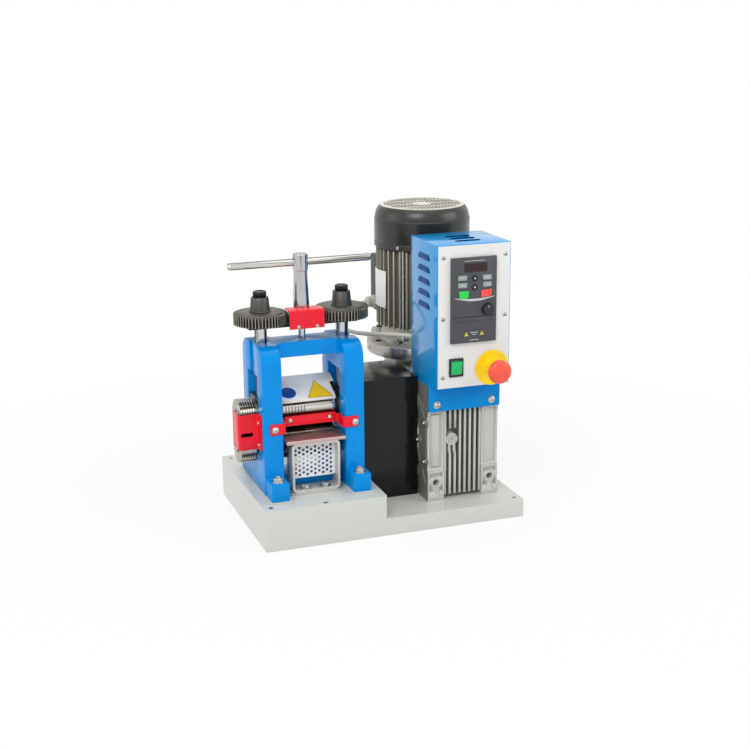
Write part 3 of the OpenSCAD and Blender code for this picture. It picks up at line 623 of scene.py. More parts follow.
def cap_screw(name, where, axis, sign, d, h, across, washer=0.0, wt=1.2, dome=0.0):
    """A socket head screw that stands on where and points along sign * axis.

    d and h are its head's, across the socket's width, washer and wt the washer's diameter
    and thickness, dome how far the head's top is rounded.
    """
    c = min(0.7, h * 0.2)
    start = wt if washer else 0.0
    top = start + h
    prof = [(0, start), (d / 2, start), (d / 2, top - c - dome), (d / 2 - c, top - dome)]
    if dome:
        prof += [(d / 2 * 0.72, top - dome * 0.45), (d / 2 * 0.4, top)]
    prof += [(across * 0.62, top), (across * 0.56, top - 0.4), (across * 0.50, top - h * 0.5),
            (0, top - h * 0.5)]
    parts = [lathe(name + "_h", [(r, t * sign) for r, t in prof], where, axis, "zinc", 28)]
    if washer:
        parts.append(washer_ring(name + "_w", d * 0.3, washer, wt, where, axis, sign, "zinc"))
    return join(name, parts)


def screw_set(name, places, axis, sign, d, h, across, washer=0.0, wt=1.2, dome=0.0,
        body="frame"):
    """Like cap screws at several places, as one extra piece."""
    screws = [cap_screw(f"{name}{i}", at, axis, sign, d, h, across, washer, wt, dome)
            for i, at in enumerate(places)]
    rides(join(name, screws), body)


def hex_head(name, where, across, h, washer, wt, mat="zinc"):
    """An upright hexagon head with a chamfered top, on a washer."""
    x, y, z = where
    head = prism(name + "_h", poly(6, across / math.sqrt(3), 11, x, y), "z", z + wt, h, mat, 0.5)
    ring = washer_ring(name + "_w", across * 0.3, washer, wt, where, "z", 1, mat)
    return join(name, [head, ring])


def tube(name, pts, d, mat, sides):
    """A round bar through points, with flat ends."""
    bm = bmesh.new()
    path = [P(*p) for p in pts]
    rings = []
    normal = None
    for i, p in enumerate(path):
        t = (path[min(i + 1, len(path) - 1)] - path[max(i - 1, 0)]).normalized()
        if normal is None:
            normal = t.orthogonal().normalized()
        normal = (normal - t * normal.dot(t)).normalized()
        side = t.cross(normal)
        turn = [2 * math.pi * k / sides for k in range(sides)]
        rings.append([bm.verts.new(p + d / 2 * MM * (math.cos(a) * normal + math.sin(a) * side))
                for a in turn])
    for a, b in zip(rings, rings[1:]):
        walls(bm, a, b)
    bm.faces.new(rings[0][::-1])
    bm.faces.new(rings[-1])
    bmesh.ops.recalc_face_normals(bm, faces=bm.faces)
    return to_obj(name, bm, mat, 60.0)


# ---------------- sizes shared with the CAD model
def span(node):
    """Lowest and highest corner of a node."""
    lo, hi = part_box(node)
    return (lo + ROW) / MM, (hi + ROW) / MM


MX, MY = 105.5, 127.0                     # middle of the mill
GAP = 141.1                               # from one housing's middle to the other's
SIDES = {"left": MX - GAP / 2, "right": MX + GAP / 2}
IL, IR = MX - GAP / 2 + 16.5, MX + GAP / 2 - 16.5       # inner faces of the housings
OL = IL - 33.0                            # outer face of the left housing
ROLL_Z = {"upper": 198.7, "lower": 143.5}
WX, WY = 366.5, 243.0                     # axis of the motor
HANDLE_Z = 449.5

# ---------------- the motor cable
CABLE_D = 7.5
CABLE = [(291.5, 337, 324), (275, 336, 322), (258, 329, 318), (243, 316, 313), (231, 298, 307),
        (224, 278, 302), (222, 258, 298), (226, 240, 296.5), (235, 223, 296), (248, 208, 296.5),
        (262, 194, 297.5), (275, 180, 299), (287, 166, 300.5), (297, 152, 302), (304, 140, 303),
        (308, 133, 303.5), (308, 128, 303.5)]
cable = tube("motor_lead", CABLE, CABLE_D, "cable_sheath", 16)
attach(cable, BODY["motor_cable"])
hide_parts("motor_cable")

# ---------------- base
dress("base_pan", "base_paint", 1.6, 4)
for side in SIDES:
    dress(side + "_pad", "pad_paint", 0.5)


def sunk_screw(name, where, d=9.0):
    """A countersunk socket screw, flush in its seat, seen from above."""
    x, y, z = where
    prof = [(d / 2, 0.0), (d / 2 - 0.3, 0.12), (d * 0.31, 0.12), (d * 0.30, 0.0)]
    rim = lathe(name + "_rim", prof, where, "z", "zinc", 28)
    # painted shade: a flat dark hexagon stands for the socket's deep hole
    hole = prism(name + "_hex", poly(6, d * 0.29, 20, x, y), "z", z, 0.09, "socket", 0)
    return join(name, [rim, hole])


BASE_SCREWS = ((104.8, 9, 70), (449.1, 16.4, 30), (104.8, 290, 70), (449.1, 284, 30),
        (14, 284, 70), (14, 16, 70))
screws = [sunk_screw(f"s{i}", where) for i, where in enumerate(BASE_SCREWS)]
rides(join("base_screws", screws))

# ---------------- housings, bridge, tie
for side in SIDES:
    dress(side + "_housing", "blue_paint", 2.2, 3, 38.0)
dress("top_bridge", "blue_paint", 1.6, 3, 38.0)
dress("lower_tie", "blue_paint", 1.0)
FOOT_IN, FOOT_Z = 83.5, 103.0             # foot bolts: from the mill's middle, and their seat
screw_set("foot_bolts", [(cx, y, FOOT_Z) for cx in SIDES.values()
        for y in (MY - FOOT_IN, MY + FOOT_IN)],
        "z", 1, 16, 6.2, 9, 21, 1.6)

# ---------------- rolls and rings
R = 27.5                                  # radius of the rolls and of their side rings
B0, B1 = MX - 48.5, MX + 48.5             # ends of the roll's barrel
JOURNAL = 17.0
VEE_DEEP, VEE_HALF = 1.1, 1.3             # vee grooves in the barrel
for which, z in ROLL_Z.items():
    node = which + "_roll"
    lo, hi = span(node)
    prof = [(0, OL - 3), (JOURNAL - 0.6, OL - 3), (JOURNAL, OL - 2.4), (JOURNAL, B0 - 0.6),
            (JOURNAL + 0.3, B0), (R - 1.2, B0), (R, B0 + 1.2)]
    for i in range(8):
        g = B0 + 4.5 + 5.4 * i
        prof += [(R, g - VEE_HALF), (R - VEE_DEEP, g - 0.15 * VEE_HALF),
                (R - VEE_DEEP, g + 0.15 * VEE_HALF), (R, g + VEE_HALF)]
    prof += [(R, B1 - 1.2), (R - 1.2, B1), (JOURNAL + 0.3, B1), (JOURNAL, B1 + 0.6),
            (JOURNAL, hi[0] - 0.8), (JOURNAL - 0.8, hi[0]), (0, hi[0])]
    piece = lathe(node + "_ground", prof, (0, MY, z), "x", "roll_steel", 96, 28.0)
    recolour(piece, "end_steel", lambda c: c.x > hi[0] - 0.9 or c.x < OL - 2.3)
    stands_for(piece, node)

RING_W, RING_GROOVE = 27.0, 1.3           # width of a side ring, radius of its round grooves
RX = OL - 3 - RING_W
for which, z in ROLL_Z.items():
    node = which + "_ring"
    prof = [(0, RX + 3.0), (9.8, RX + 3.0), (9.8, RX + 0.6), (10.6, RX), (R - 1.0, RX),
        (R, RX + 1.0)]
    for i in range(6):
        middle = RX + 3.3 + i * 4.08
        for k in range(9):
            a = math.pi * k / 8
            prof.append((R - RING_GROOVE * math.sin(a), middle - RING_GROOVE * math.cos(a)))
    prof += [(R, RX + 26.2), (R - 0.8, RX + RING_W), (0, RX + RING_W)]
    ring = lathe(node + "_turned", prof, (0, MY, z), "x", "ring_steel", 96, 28.0)
    recolour(ring, "end_steel", lambda c: c.x < RX + 0.5 or c.x > RX + 26.9
            or math.hypot(c.y - MY, c.z - z) < 12)
    stands_for(ring, node)
    # painted shade: a dark disc on the bottom of the ring's end recess
    bore_shade = lathe(node + "_eye", [(0, RX + 2.85), (9.75, RX + 2.85), (9.75, RX + 3.1)], (0, MY, z),
            "x", "socket", 40)
    nut = cap_screw(node + "_bolt", (RX + 2.9, MY, z), "x", -1, 12.0, 2.4, 6)
    rides(join(node + "_end", [bore_shade, nut]), BODY[node])

for side in SIDES:
    dress(side + "_chock", "chock_steel", 0.8)

# ---------------- pressure screws, their gears
SCREW_R, PITCH, THREAD_TOP = 10.5, 3.0, 316
for side, cx in SIDES.items():
    node = side + "_screw"
    lo, hi = span(node)
    prof = [(0, lo[2]), (SCREW_R - 1, lo[2]), (SCREW_R, lo[2] + 1)]
    z = lo[2] + 4
    while z < THREAD_TOP:
        prof += [(SCREW_R, z), (SCREW_R - 0.9, z + PITCH / 4), (SCREW_R, z + PITCH / 2)]
        z += PITCH
    prof += [(SCREW_R, THREAD_TOP + 2), (SCREW_R, hi[2]), (0, hi[2])]
    stands_for(lathe(node + "_turned", prof, (cx, MY, 0), "z", "screw_chrome", 48, 40.0), node)

TEETH, MOD, GZ, GT = 50, 1.7, 352.0, 20.0       # teeth, module, underside and thickness
HUB_H, CAP_H, RIM = 24.5, 10.0, 1.7       # hub cone, its cap, how far the teeth stop below the face
TIP = TEETH * MOD / 2 + MOD
ROOT = TEETH * MOD / 2 - 1.25 * MOD
FLANK = ROOT + 0.35 * (TIP - ROOT)
TOOTH = ((-0.34, ROOT), (-0.24, FLANK), (-0.14, TIP), (0.14, TIP), (0.24, FLANK), (0.34, ROOT))
KNURL = ((-0.32, 10.1), (-0.16, 11.0), (0.16, 11.0), (0.32, 10.1))
for side, cx in SIDES.items():
    axle = (cx, MY, 0)
    zf = GZ + GT
    top = zf + HUB_H
    cap = top + CAP_H
    parts = [
        prism("wheel", toothed(TEETH, TOOTH, cx, MY), "z", GZ, GT - RIM, "gear_steel", 0.35, 1),
        lathe("face", [(0, zf), (36.6, zf), (37.4, zf - 0.3), (38.2, zf - 0.35),
            (38.6, zf - RIM - 0.1), (0, zf - RIM - 0.1)], axle, "z", "gear_face", 96),
        lathe("hub", [(17.8, zf), (17.8, zf + 1.6), (17.2, zf + 2.4), (16.6, zf + 2.7),
            (16.4, zf + 4), (14.6, top - 1.4), (14.0, top - 0.4), (13.4, top), (0, top)],
            axle, "z", "hub_steel"),
        lathe("cap_neck", [(9.9, top), (9.9, top + 1.4)], axle, "z", "black_oxide", 36),
        prism("cap", toothed(24, KNURL, cx, MY), "z", top + 1.0, CAP_H - 2.0, "black_oxide",
            0.3, 1),
        lathe("cap_top", [(10.0, cap - 1.1), (9.4, cap - 0.2), (8.4, cap), (6.2, cap),
            (5.8, cap - 0.6), (5.5, cap - 4.4), (0, cap - 4.4)],
            axle, "z", "hub_steel", 36)]
    for r in (19.2, 27.8, 36.9):
        line = [(r - 0.22, zf - 0.05), (r - 0.22, zf + 0.05), (r + 0.22, zf + 0.05),
                (r + 0.22, zf - 0.05)]
        parts.append(lathe("line", line, axle, "z", "black_oxide", 72))
    for i in range(40):
        tick = slab("tick", (cx + (33.6 if i % 4 else 30.2), MY - 0.26, zf - 0.01),
                (cx + 36.3, MY + 0.26, zf + 0.06), "black_oxide")
        parts.append(turned(tick, "z", axle, 9.0 * i + 4.5))
    # painted highlight: a light strip on each tooth's tip
    for i in range(TEETH):
        shine = slab("shine", (cx + TIP - 0.25, MY - 0.34, GZ + 0.7),
                (cx + TIP + 0.03, MY + 0.34, zf - RIM - 0.7), "gear_edge")
        parts.append(turned(shine, "z", axle, 360.0 * i / TEETH))
    stands_for(join(side + "_gear_cut", parts), side + "_gear")

dress("gear_bar", "dark_steel", 0.6)
dress("pinion", "gear_steel", 0.25, 1)

# red cover: one folded sheet, a front wall with a flange back over the gears and one below them
lo, hi = span("gear_cover")
COVER_T = 2.0
LOW_BACK, LOW_IN = MY - 13.0, 4.0         # back of the lower flange, its set-back from the sides
roof, wall = hi[2] - COVER_T / 2, lo[1] + COVER_T / 2
fold = strip([(hi[1], roof), (wall, roof), (wall, lo[2])], COVER_T, 2.6)
cover = prism("gear_cover_folded", fold, "x", lo[0], hi[0] - lo[0], "red_paint", 0)
boolean(cover, rod("hole", 14.6, hi[2] - 6, hi[2] + 4, (MX, MY, 0), "z", "red_paint", 48))
bevel(cover, 0.35)
flap = box("flap", lo[0] + LOW_IN, lo[1] + 1.0, lo[2] + 0.5, hi[0] - lo[0] - 2 * LOW_IN,
        LOW_BACK - lo[1] - 1.0, COVER_T, "red_paint", 0.3)
stands_for(join("gear_cover_sheet", [cover, flap]), "gear_cover")
screw_set("cover_screws", [(91.0, lo[1], 347.9), (122.9, lo[1], 347.2)], "y", -1, 5.8, 1.6, 2.6,
        body="carriage")

# ---------------- cross handle
lo, hi = span("handle_shaft")
z1 = HANDLE_Z - 13.8                      # foot of the thicker head
prof = [(0, lo[2]), (13.6, lo[2]), (13.6, 377.0), (11.2, z1 - 0.2), (11.6, z1), (12.2, z1 + 0.2),
        (12.7, z1 + 0.8), (12.7, hi[2] - 0.9), (11.8, hi[2]), (0, hi[2])]
shaft = lathe("handle_shaft_turned", prof, (MX, MY, 0), "z", "shaft_chrome", 72, 25.0)
boolean(shaft, rod("bore", 6.03, MX - 30, MX + 30, (0, MY, HANDLE_Z), "x", "shaft_chrome", 40))
recolour(shaft, "end_steel", lambda c: c.z > hi[2] - 0.2)
shade(shaft, 28)
stands_for(shaft, "handle_shaft")
lo, hi = span("handle_bar")
BAR_R, NOSE = 6.0, 3.6                    # the bar, and the length of its rounded ends
left_end = [(BAR_R * math.sin(a), NOSE * (1 - math.cos(a)))
        for a in (math.pi / 2 * k / 7 for k in range(8))]
prof = [(r, lo[0] + t) for r, t in left_end] + [(BAR_R, MX - 20), (BAR_R, MX + 20)]
prof += [(r, hi[0] - t) for r, t in reversed(left_end)]
stands_for(lathe("handle_bar_turned", prof, (0, MY, HANDLE_Z), "x", "handle_chrome", 40, 40.0),
        "handle_bar")
lo, hi = span("guide_spindle")
prof = [(0, lo[2]), (5.4, lo[2]), (6, lo[2] + 0.8), (6, hi[2]), (0, hi[2])]
stands_for(lathe("guide_spindle_turned", prof, (MX, MY, 0), "z", "screw_chrome", 40),
        "guide_spindle")

# ---------------- table, screen, guards
dress("table_tube", "tube_metal", 0.5, 2, 40.0)
# the table plate's steel carries a painted reflection of the red guard as a pink tint
dress("table_plate", "table_steel", 0.9, 3)

lo, hi = span("perforated_screen")
sheet = prism("perforated_sheet", rounded(lo[0], lo[2], hi[0] - lo[0], hi[2] - lo[2], 4.0), "y",
        lo[1], hi[1] - lo[1], "screen_white", 0)
HOLE_STEP, HOLE_R = 7.9, 2.5
holes = []
for c in range(-5, 5):
    x = MX + (c + 0.5) * HOLE_STEP * math.cos(math.radians(30))
    for q in range(7 - c % 2):
        z = lo[2] + 5.0 + (q + 0.5 * (c % 2)) * HOLE_STEP
        holes.append([[P(a, y, b) for a, b in poly(14, HOLE_R, 0, x, z)]
                for y in (lo[1] - 2, hi[1] + 2)])
boolean(sheet, loft("cut", holes, "screen_white"))
shade(sheet, 40)
stands_for(sheet, "perforated_screen")
bolts = [hex_head(f"tb{x:.0f}", (x, 67.5, 77), 12.0, 5.0, 19.5, 1.4) for x in (88.0, 122.5)]
rides(join("tube_bolts", bolts))

lo, hi = span("guard_strap")
GUARD_T = 2.5                             # sheet of the guards
STRAP_Y = 65.0                            # front of the housings, where the strap is screwed
outer, inner = STRAP_Y - GUARD_T / 2, hi[1] - GUARD_T / 2
xi0, xi1 = IL + 5, IR - 5
pts = [(lo[0], outer), (xi0 - GUARD_T / 2, outer), (xi0 - GUARD_T / 2, inner),
       (xi1 + GUARD_T / 2, inner), (xi1 + GUARD_T / 2, outer), (hi[0], outer)]
guard = prism("guard_strap_bent", strip(pts, GUARD_T, 4.0), "z", lo[2], hi[2] - lo[2],
        "red_paint", 0)
boolean(guard, box("notch", xi0 + 1.5, hi[1] - 8, lo[2] - 1, xi1 - xi0 - 3, 12, 5, "red_paint", 0))
bevel(guard, 0.45)
stands_for(guard, "guard_strap")
lo, hi = span("guard_bar")
pts = [(lo[1], lo[2] + GUARD_T / 2), (hi[1] - GUARD_T / 2, lo[2] + GUARD_T / 2),
       (hi[1] - GUARD_T / 2, hi[2])]
stands_for(prism("guard_bar_bent", strip(pts, GUARD_T), "x", lo[0], hi[0] - lo[0], "red_paint",
        0.45), "guard_bar")
face = STRAP_Y - GUARD_T
screws = [cap_screw(f"gs{x:.0f}", (x, face, z), "y", -1, 9.4, 3.2, 4.4, 11.6, 1.0, 0.9)
        for x, z in ((37.8, 185.6), (176.3, 184.9))]
face = hi[1] - GUARD_T
screws += [cap_screw(f"gs{x:.0f}", (x, face, z), "y", -1, 5.8, 1.8, 2.6, 7.2, 0.6, 0.6)
        for x, z in ((70.3, 191.2), (139.2, 190.7))]
rides(join("guard_screws", screws))

lo, hi = span("ring_guard")
GUARD_L, GUARD_R = 88.5, 92.0             # front face of the guard at its left and right end
xg = lo[0] + GUARD_T / 2
xr = OL - GUARD_T / 2
pts = [(xg, hi[1]), (xg, GUARD_L + GUARD_T / 2), (xr, GUARD_R + GUARD_T / 2), (xr, lo[1])]
ring_guard = prism("ring_guard_bent", strip(pts, GUARD_T, 4.5, 6), "z", lo[2], hi[2] - lo[2],
        "red_paint", 0)
SLOT_X0, SLOT_X1, SLOT_Z, SLOT_R = -14.05, 7.95, 173.4, 3.5
slot_pts = (arc(SLOT_X1 - SLOT_R, SLOT_Z, SLOT_R, -90, 90, 8)
        + arc(SLOT_X0 + SLOT_R, SLOT_Z, SLOT_R, 90, 270, 8))
boolean(ring_guard, prism("slot", slot_pts, "y", GUARD_L - 6, 18, "red_paint", 0))
bevel(ring_guard, 0.45)
stands_for(ring_guard, "ring_guard")
screw_set("ring_guard_screws", [(OL - GUARD_T, 86.0, z) for z in (194.0, 156.0)], "x", -1,
        6.2, 1.8, 2.8)

# rear plate with its bare coloured tags
dress("rear_plate", "sheet_grey", 0.4)
TILT = math.radians(26.0)
TAG_AT = (MX, 97.5, 222.7)                # middle of the plate's lower edge


def tag(name, outline, h0, h1, mat):
    """A flat tag on the slope; the outline is across and up the plate, h0 and h1 out of it."""
    x, y, z = TAG_AT
    ends = [[P(x + u, y + v * math.cos(TILT) - h * math.sin(TILT),
            z + v * math.sin(TILT) + h * math.cos(TILT)) for u, v in outline] for h in (h0, h1)]
    return loft(name, [ends], mat)


tags = [tag("square", rounded(-45.0, 4.0, 31.0, 31.0, 1.5), 0.0, 0.15, "tag_white"),
        tag("disc", poly(40, 13.5, 0, -30.0, 19.5), 0.15, 0.24, "tag_blue"),
        tag("rim", [(-0.5, 1.4), (44.5, 1.4), (22.0, 45.5)], 0.0, 0.15, "tag_rim"),
        tag("triangle", [(2.0, 2.9), (42.0, 2.9), (22.0, 42.2)], 0.15, 0.22, "tag_yellow")]
rides(join("rear_tags", tags), BODY["rear_plate"])

# ---------------- drive cover and gearbox
dress("drive_cover", "cover_black", 1.4, 4)
GX, GY, GW = 301.5, 50.0, 130.0           # left side, front and width of the gearbox
POSTS = (GX + 15, GX + GW - 15)           # middles of its two corner posts
FOOT_HOLE_Z = 63.0
PLUG_X, PLUG_Z = 346.5, 137.0
gearbox = dressed("gearbox", "gearbox_grey", 0.9, 2, 40.0)
pockets = []
for cx in POSTS:
    for sx in (-1, 1):
        for sz in (-1, 1):
            corner = [(cx + u * sx, FOOT_HOLE_Z + v * sz) for u, v in ((5.0, 15.5), (11.5, 15.5),
                    (11.5, 7.0))]
            pockets.append(prism("tri", corner, "y", 47.0, 6.0, "gearbox_grey", 0))
    pockets.append(box("tray", cx - 11.0, 47.0, 89.0, 22.0, 7.6, 98.0, "gearbox_grey", 0))
boolean(gearbox, join("pockets", pockets))
boolean(gearbox, box("plug_room", 338.7, 45.0, PLUG_Z - 26.5, 18.7, 18.9, 46.0, "gearbox_grey", 0))
# painted shade: the gearbox's left side face takes the darker casting
recolour(gearbox, "gearbox_side", lambda c: c.x < GX + 0.5 and 55 < c.y and 32 < c.z)
# painted shade in the valleys between the gearbox's front ribs
recolour(gearbox, "gearbox_gap",
        lambda c: 55 < c.y < 64.6 and abs(c.x - WX) < 35.5 and 31 < c.z < 205)
stands_for(gearbox, "gearbox")
dress("output_flange", "gearbox_grey", 0.4)


def reach(c):
    """Distance of a point from the motor's axis."""
    return math.hypot(c.x - WX, c.y - WY)


OIL_Z = 261.6
flange = recolour(dressed("input_flange", "flange_cast", 1.0, 3), "flange_rim",
        lambda c: reach(c) > 98.6)
boolean(flange, rod("oil_hole", 2.6, WX - 110, WX - 90, (0, WY, OIL_Z), "x", "socket", 24))
boolean(flange, prism("lift_slot", rounded(277.0, 236.0, 11.0, 12.0, 3.4), "z", 268.0, 10.0,
        "socket", 0))
# painted shade: the oil hole's and the lift slot's inner faces are black
recolour(flange, "hollow", lambda c: 90 < reach(c) < 99 and c.x < 274 and abs(c.y - WY) < 4
        and 258 < c.z < 266)
recolour(flange, "hollow", lambda c: 277 < c.x < 288 and 236 < c.y < 248 and 267 < c.z < 272.5)
shade(flange, 40)
stands_for(flange, "input_flange")

bits = []
boss = [(5.5, 3), (5.5, -0.2), (6.1, -0.9), (9.2, -0.9), (10.2, 0.2), (10.2, 3)]
for cx in POSTS:
    bits.append(lathe("boss", boss, (cx, GY, FOOT_HOLE_Z), "y", "gearbox_grey", 40))
barrel = [(POSTS[0] + 9.5 * math.cos(math.radians(a)), 58 - 7.5 * math.sin(math.radians(a)))
        for a in range(0, 181, 12)]
bits.append(prism("barrel", barrel, "z", 92.0, 92.0, "gearbox_grey", 0.8))
plug = lathe("plug", [(0, 4.2), (3.6, 4.2), (4.0, 1.6), (4.6, 1.0), (6.2, 1.0), (6.7, 1.6),
        (6.9, 2.2), (8.2, 2.2), (8.6, 1.0), (9.6, 0.6), (10.6, 1.2), (10.9, 3.0),
        (10.9, 14.0)], (PLUG_X, GY + 1.4, PLUG_Z), "y", "gearbox_grey", 48)
for (xa, za), (xb, zb) in (((342.3, 121.5), (343.5, 110.0)), ((351.4, 121.4), (352.7, 110.0))):
    fork = [(xa - 2, za + 8), (xa + 2, za + 8), (xa + 2, za), (xb + 2, zb), (xb - 2, zb),
            (xa - 2, za)]
    bits.append(prism("fork", fork, "y", 53.0, 11.0, "gearbox_grey", 0.5))
rides(join("gearbox_bosses", bits + [plug]))

EARS = ((58.5, 170.6), (88.1, 132.0), (58.3, 101.0))
side_ring = [(70.0, GX + 1), (70.0, GX - 1.4), (71.0, GX - 2.2), (84.0, GX - 2.2),
        (85.0, GX - 1.4), (85.0, GX + 1)]
# the ring, ears and web on the gearbox's left side carry its painted shade
side_parts = [lathe("side_ring", side_ring, (0, 138.5, 136), "x", "gearbox_side", 96)]
ear = [(8.6, GX + 1), (8.6, GX - 1.8), (7.8, GX - 2.6), (0, GX - 2.6)]
for y, z in EARS:
    side_parts.append(lathe("ear", ear, (0, y, z), "x", "gearbox_side", 32))
web = [(58.6, 60), (96, 118), (96, 146), (58, 216), (66, 216), (104, 150), (104, 114), (66, 60)]
side_parts.append(prism("web", web, "x", GX - 1.6, 2.6, "gearbox_side", 0.4))
rides(join("gearbox_side_ribs", side_parts))
screw_set("output_bolts", [(GX - 2.6, y, z) for y, z in EARS], "x", -1, 8.6, 2.2, 4.4)

# ---------------- motor
FLANGE_TOP = 286                          # below it the casting is the foot flange's
STUD_R, SPOT_Z = 82.5, 277.5              # studs of the motor's foot flange, and its spot faces
ROD_R = 81.6                              # tie rods between the fins
FOUR = (45, 135, 225, 315)
AXIS = (WX, WY, 0)
motor = dressed("motor_body", "motor_cast", 0.5, 2, 40.0)
# painted highlight on the fin tips at the front of the motor
recolour(motor, "fin_edge", lambda c: 81.3 < reach(c) < 84 and c.z > 294 and c.y < WY + 70)
recolour(motor, "flange_cast", lambda c: c.z < FLANGE_TOP)
neck = [(71.2, 285.2), (96, 285.2), (96, 302.5), (75.0, 302.5), (71.2, 296.0)]
boolean(motor, lathe("neck", neck, AXIS, "z", "motor_cast", 96, ring=True))
for x, y, a in circle(WX, WY, STUD_R, FOUR):
    boolean(motor, rod("spot", 11.0, SPOT_Z, 286.5, (x, y, 0), "z", "motor_cast", 32))
shade(motor, 40)
shield = lathe("end_shield", [(70.5, 284.8), (73.4, 284.8), (74.0, 285.6), (74.0, 287.0),
        (72.0, 288.4), (72.0, 294.0), (74.4, 298.6), (78.6, 300.8),
        (79.6, 301.8), (79.6, 302.6), (70.5, 302.9)],
        AXIS, "z", "shield_cast", 96)
stands_for(join("motor_body_cast", [motor, shield]), "motor_body")
rods = [rod("tie_rod", 2.0, 300, 443.2, (x, y, 0), "z", "zinc", 16)
        for x, y, a in circle(WX, WY, ROD_R, FOUR)]
rides(join("tie_rods", rods))
nuts = []
for x, y, a in circle(WX, WY, STUD_R, FOUR):
    finish = "zinc" if a > 180 else "hub_steel"       # the two at the back are darker and duller
    stud = [(0, 250), (4.6, 250), (4.6, 289.6), (3.9, 290.4), (0, 290.4)]
    nuts += [lathe("stud", stud, (x, y, 0), "z", finish, 20),
            hex_head("nut", (x, y, SPOT_Z), 14, 7.6, 19, 1.3, finish)]
rides(join("flange_nuts", nuts))

# fan cowl: a spun shell with a rolled seam, and a deck of bars under its rim
lo, hi = span("fan_cowl")
z0, zt = lo[2], hi[2]
RC = 85.0                                 # radius of the cowl
DECK_R, CROSS_HALF = 67.7, 1.6            # reach of the bars, half the width of the cross bars
deck_z = zt - 0.95                        # height of the painted shade disc just below the bars
prof = [(RC - 3.2, z0), (RC - 0.9, z0), (RC, z0 + 0.9), (RC, z0 + 9.0), (RC - 0.9, z0 + 10.0),
        (RC - 0.9, z0 + 12.0), (RC - 0.2, z0 + 13.2), (RC - 0.2, z0 + 46.6), (RC, z0 + 47.8),
        (RC, z0 + 49.2), (RC - 0.9, z0 + 50.1)]
prof += [(r, zt - t) for r, t in ((84.1, 22.6), (82.6, 14.6), (81.0, 9.6), (78.4, 5.0),
        (75.6, 1.9), (74.2, 0.8), (72.6, 0.3), (68.0, 0.3), (67.6, 0.7))]
prof += [(67.6, deck_z - 0.4), (0, deck_z - 0.4)]
shell = lathe("cowl_shell", prof, AXIS, "z", "cowl_black", 128, 32.0)
# painted shade: a black disc under the grille stands for the shaded inside of the cowl
deck_shade = lathe("deck_shade", [(0, deck_z), (67.5, deck_z)], AXIS, "z", "hollow", 96)
BAR_W, BAR_STEP, CROSS_STEP = 2.5, 6.3, 34.5
grid = []
for i in range(-10, 11):
    u = i * BAR_STEP
    half = math.sqrt(DECK_R ** 2 - (abs(u) + BAR_W / 2) ** 2)
    grid.append(slab("bar", (WX - BAR_W / 2 + u, WY - half, deck_z - 0.1),
            (WX + BAR_W / 2 + u, WY + half, zt - 0.35), "grille"))
for v in (-CROSS_STEP, 0, CROSS_STEP):
    half = math.sqrt(DECK_R ** 2 - (abs(v) + CROSS_HALF) ** 2)
    grid.append(slab("cross", (WX - half, WY + v - CROSS_HALF, deck_z - 0.1),
            (WX + half, WY + v + CROSS_HALF, zt - 0.4), "grille"))
grid.append(lathe("hub_disc", [(0, zt - 0.12), (16.4, zt - 0.12), (17.2, zt - 0.5),
        (17.2, deck_z)], AXIS, "z", "grille"))
grid.append(lathe("rim", [(67.2, deck_z), (67.2, zt - 0.3), (67.8, zt), (73.2, zt),
        (74.4, zt - 0.5), (74.9, zt - 1.4)], AXIS, "z", "grille", 96))
rides(join("cowl_grille", grid))
stands_for(join("fan_cowl_spun", [shell, deck_shade]), "fan_cowl")
screws = []
for x, y, a in circle(WX, WY, 84.6, (219, 309, 39, 129)):
    screw = cap_screw("cowl_screw", (x, y, z0 + 5.2), "x", 1, 6.4, 2.0, 3.0)
    screws.append(turned(screw, "z", (x, y, 0), a))
rides(join("cowl_screws", screws))

# terminal box and gland
lo, hi = span("terminal_box")
dress("terminal_box", "terminal_plastic", 2.2, 4)
screw_set("terminal_screws", [(lo[0] + dx, hi[1] - 0.1, lo[2] + dz)
        for dx, dz in ((9, 9), (99, 9), (9, 95), (99, 95))],
        "y", 1, 7, 0.1, 3.4)
GLAND = (312.5, 337.0, 324.0)             # the gland's root on the terminal box
gland_nut = prism("gland_nut", poly(6, 12.0, 20, *GLAND[1:]), "x", GLAND[0] - 8.0, 8.0,
        "gland_plastic", 0.7)
prof = [(r, -t) for r, t in ((0, 8), (9.6, 8), (9.6, 10.5), (10.0, 11.0), (10.0, 17.5),
        (8.6, 19.6), (6.2, 20.8), (4.2, 21.0), (0, 21.0))]
dome = lathe("gland_dome", prof, GLAND, "x", "gland_plastic", 40)
stands_for(join("cable_gland_moulded", [gland_nut, dome]), "cable_gland")

# bare name plate on the fins, held by four rivets
dress("name_plate", "plate_metal", 0.2, 1, 50.0)
PLATE_R = 83.4
rivets = []
for dy in (-22.5, 22.5):
    for z in (341.0, 399.0):
        x, y = WX - math.sqrt(83.25 ** 2 - dy * dy), WY + dy
        rivet = lathe("rivet", [(0, -0.9), (1.2, -0.7), (1.9, 0.0), (1.9, 0.4)], (x, y, z), "x",
                "zinc", 16)
        rivets.append(turned(rivet, "z", (x, y, 0), -math.degrees(math.asin(dy / PLATE_R))))
rides(join("plate_rivets", rivets))

# ---------------- control box
dress("control_bracket", "blue_front", 0.9, 3)
screw_set("bracket_bolts", [(x, 45.0, 203.2) for x in (315.8, 416.1)], "y", -1,
        9.6, 4.0, 5, 13.0, 1.2, 0.8)

BX, BW, BY, BD, BZ, BT = 301.5, 130.0, 11.0, 117.0, 241.0, 481.0
sw_lo, sw_hi = span("switch_rocker")


def with_pocket(obj, y, depth, mat):
    """Cuts the room of the rocker switch out of obj."""
    return boolean(obj, box("pocket", sw_lo[0] - 0.5, y, sw_lo[2] - 0.5, sw_hi[0] - sw_lo[0] + 1,
            depth, sw_hi[2] - sw_lo[2] + 1, mat, 0))


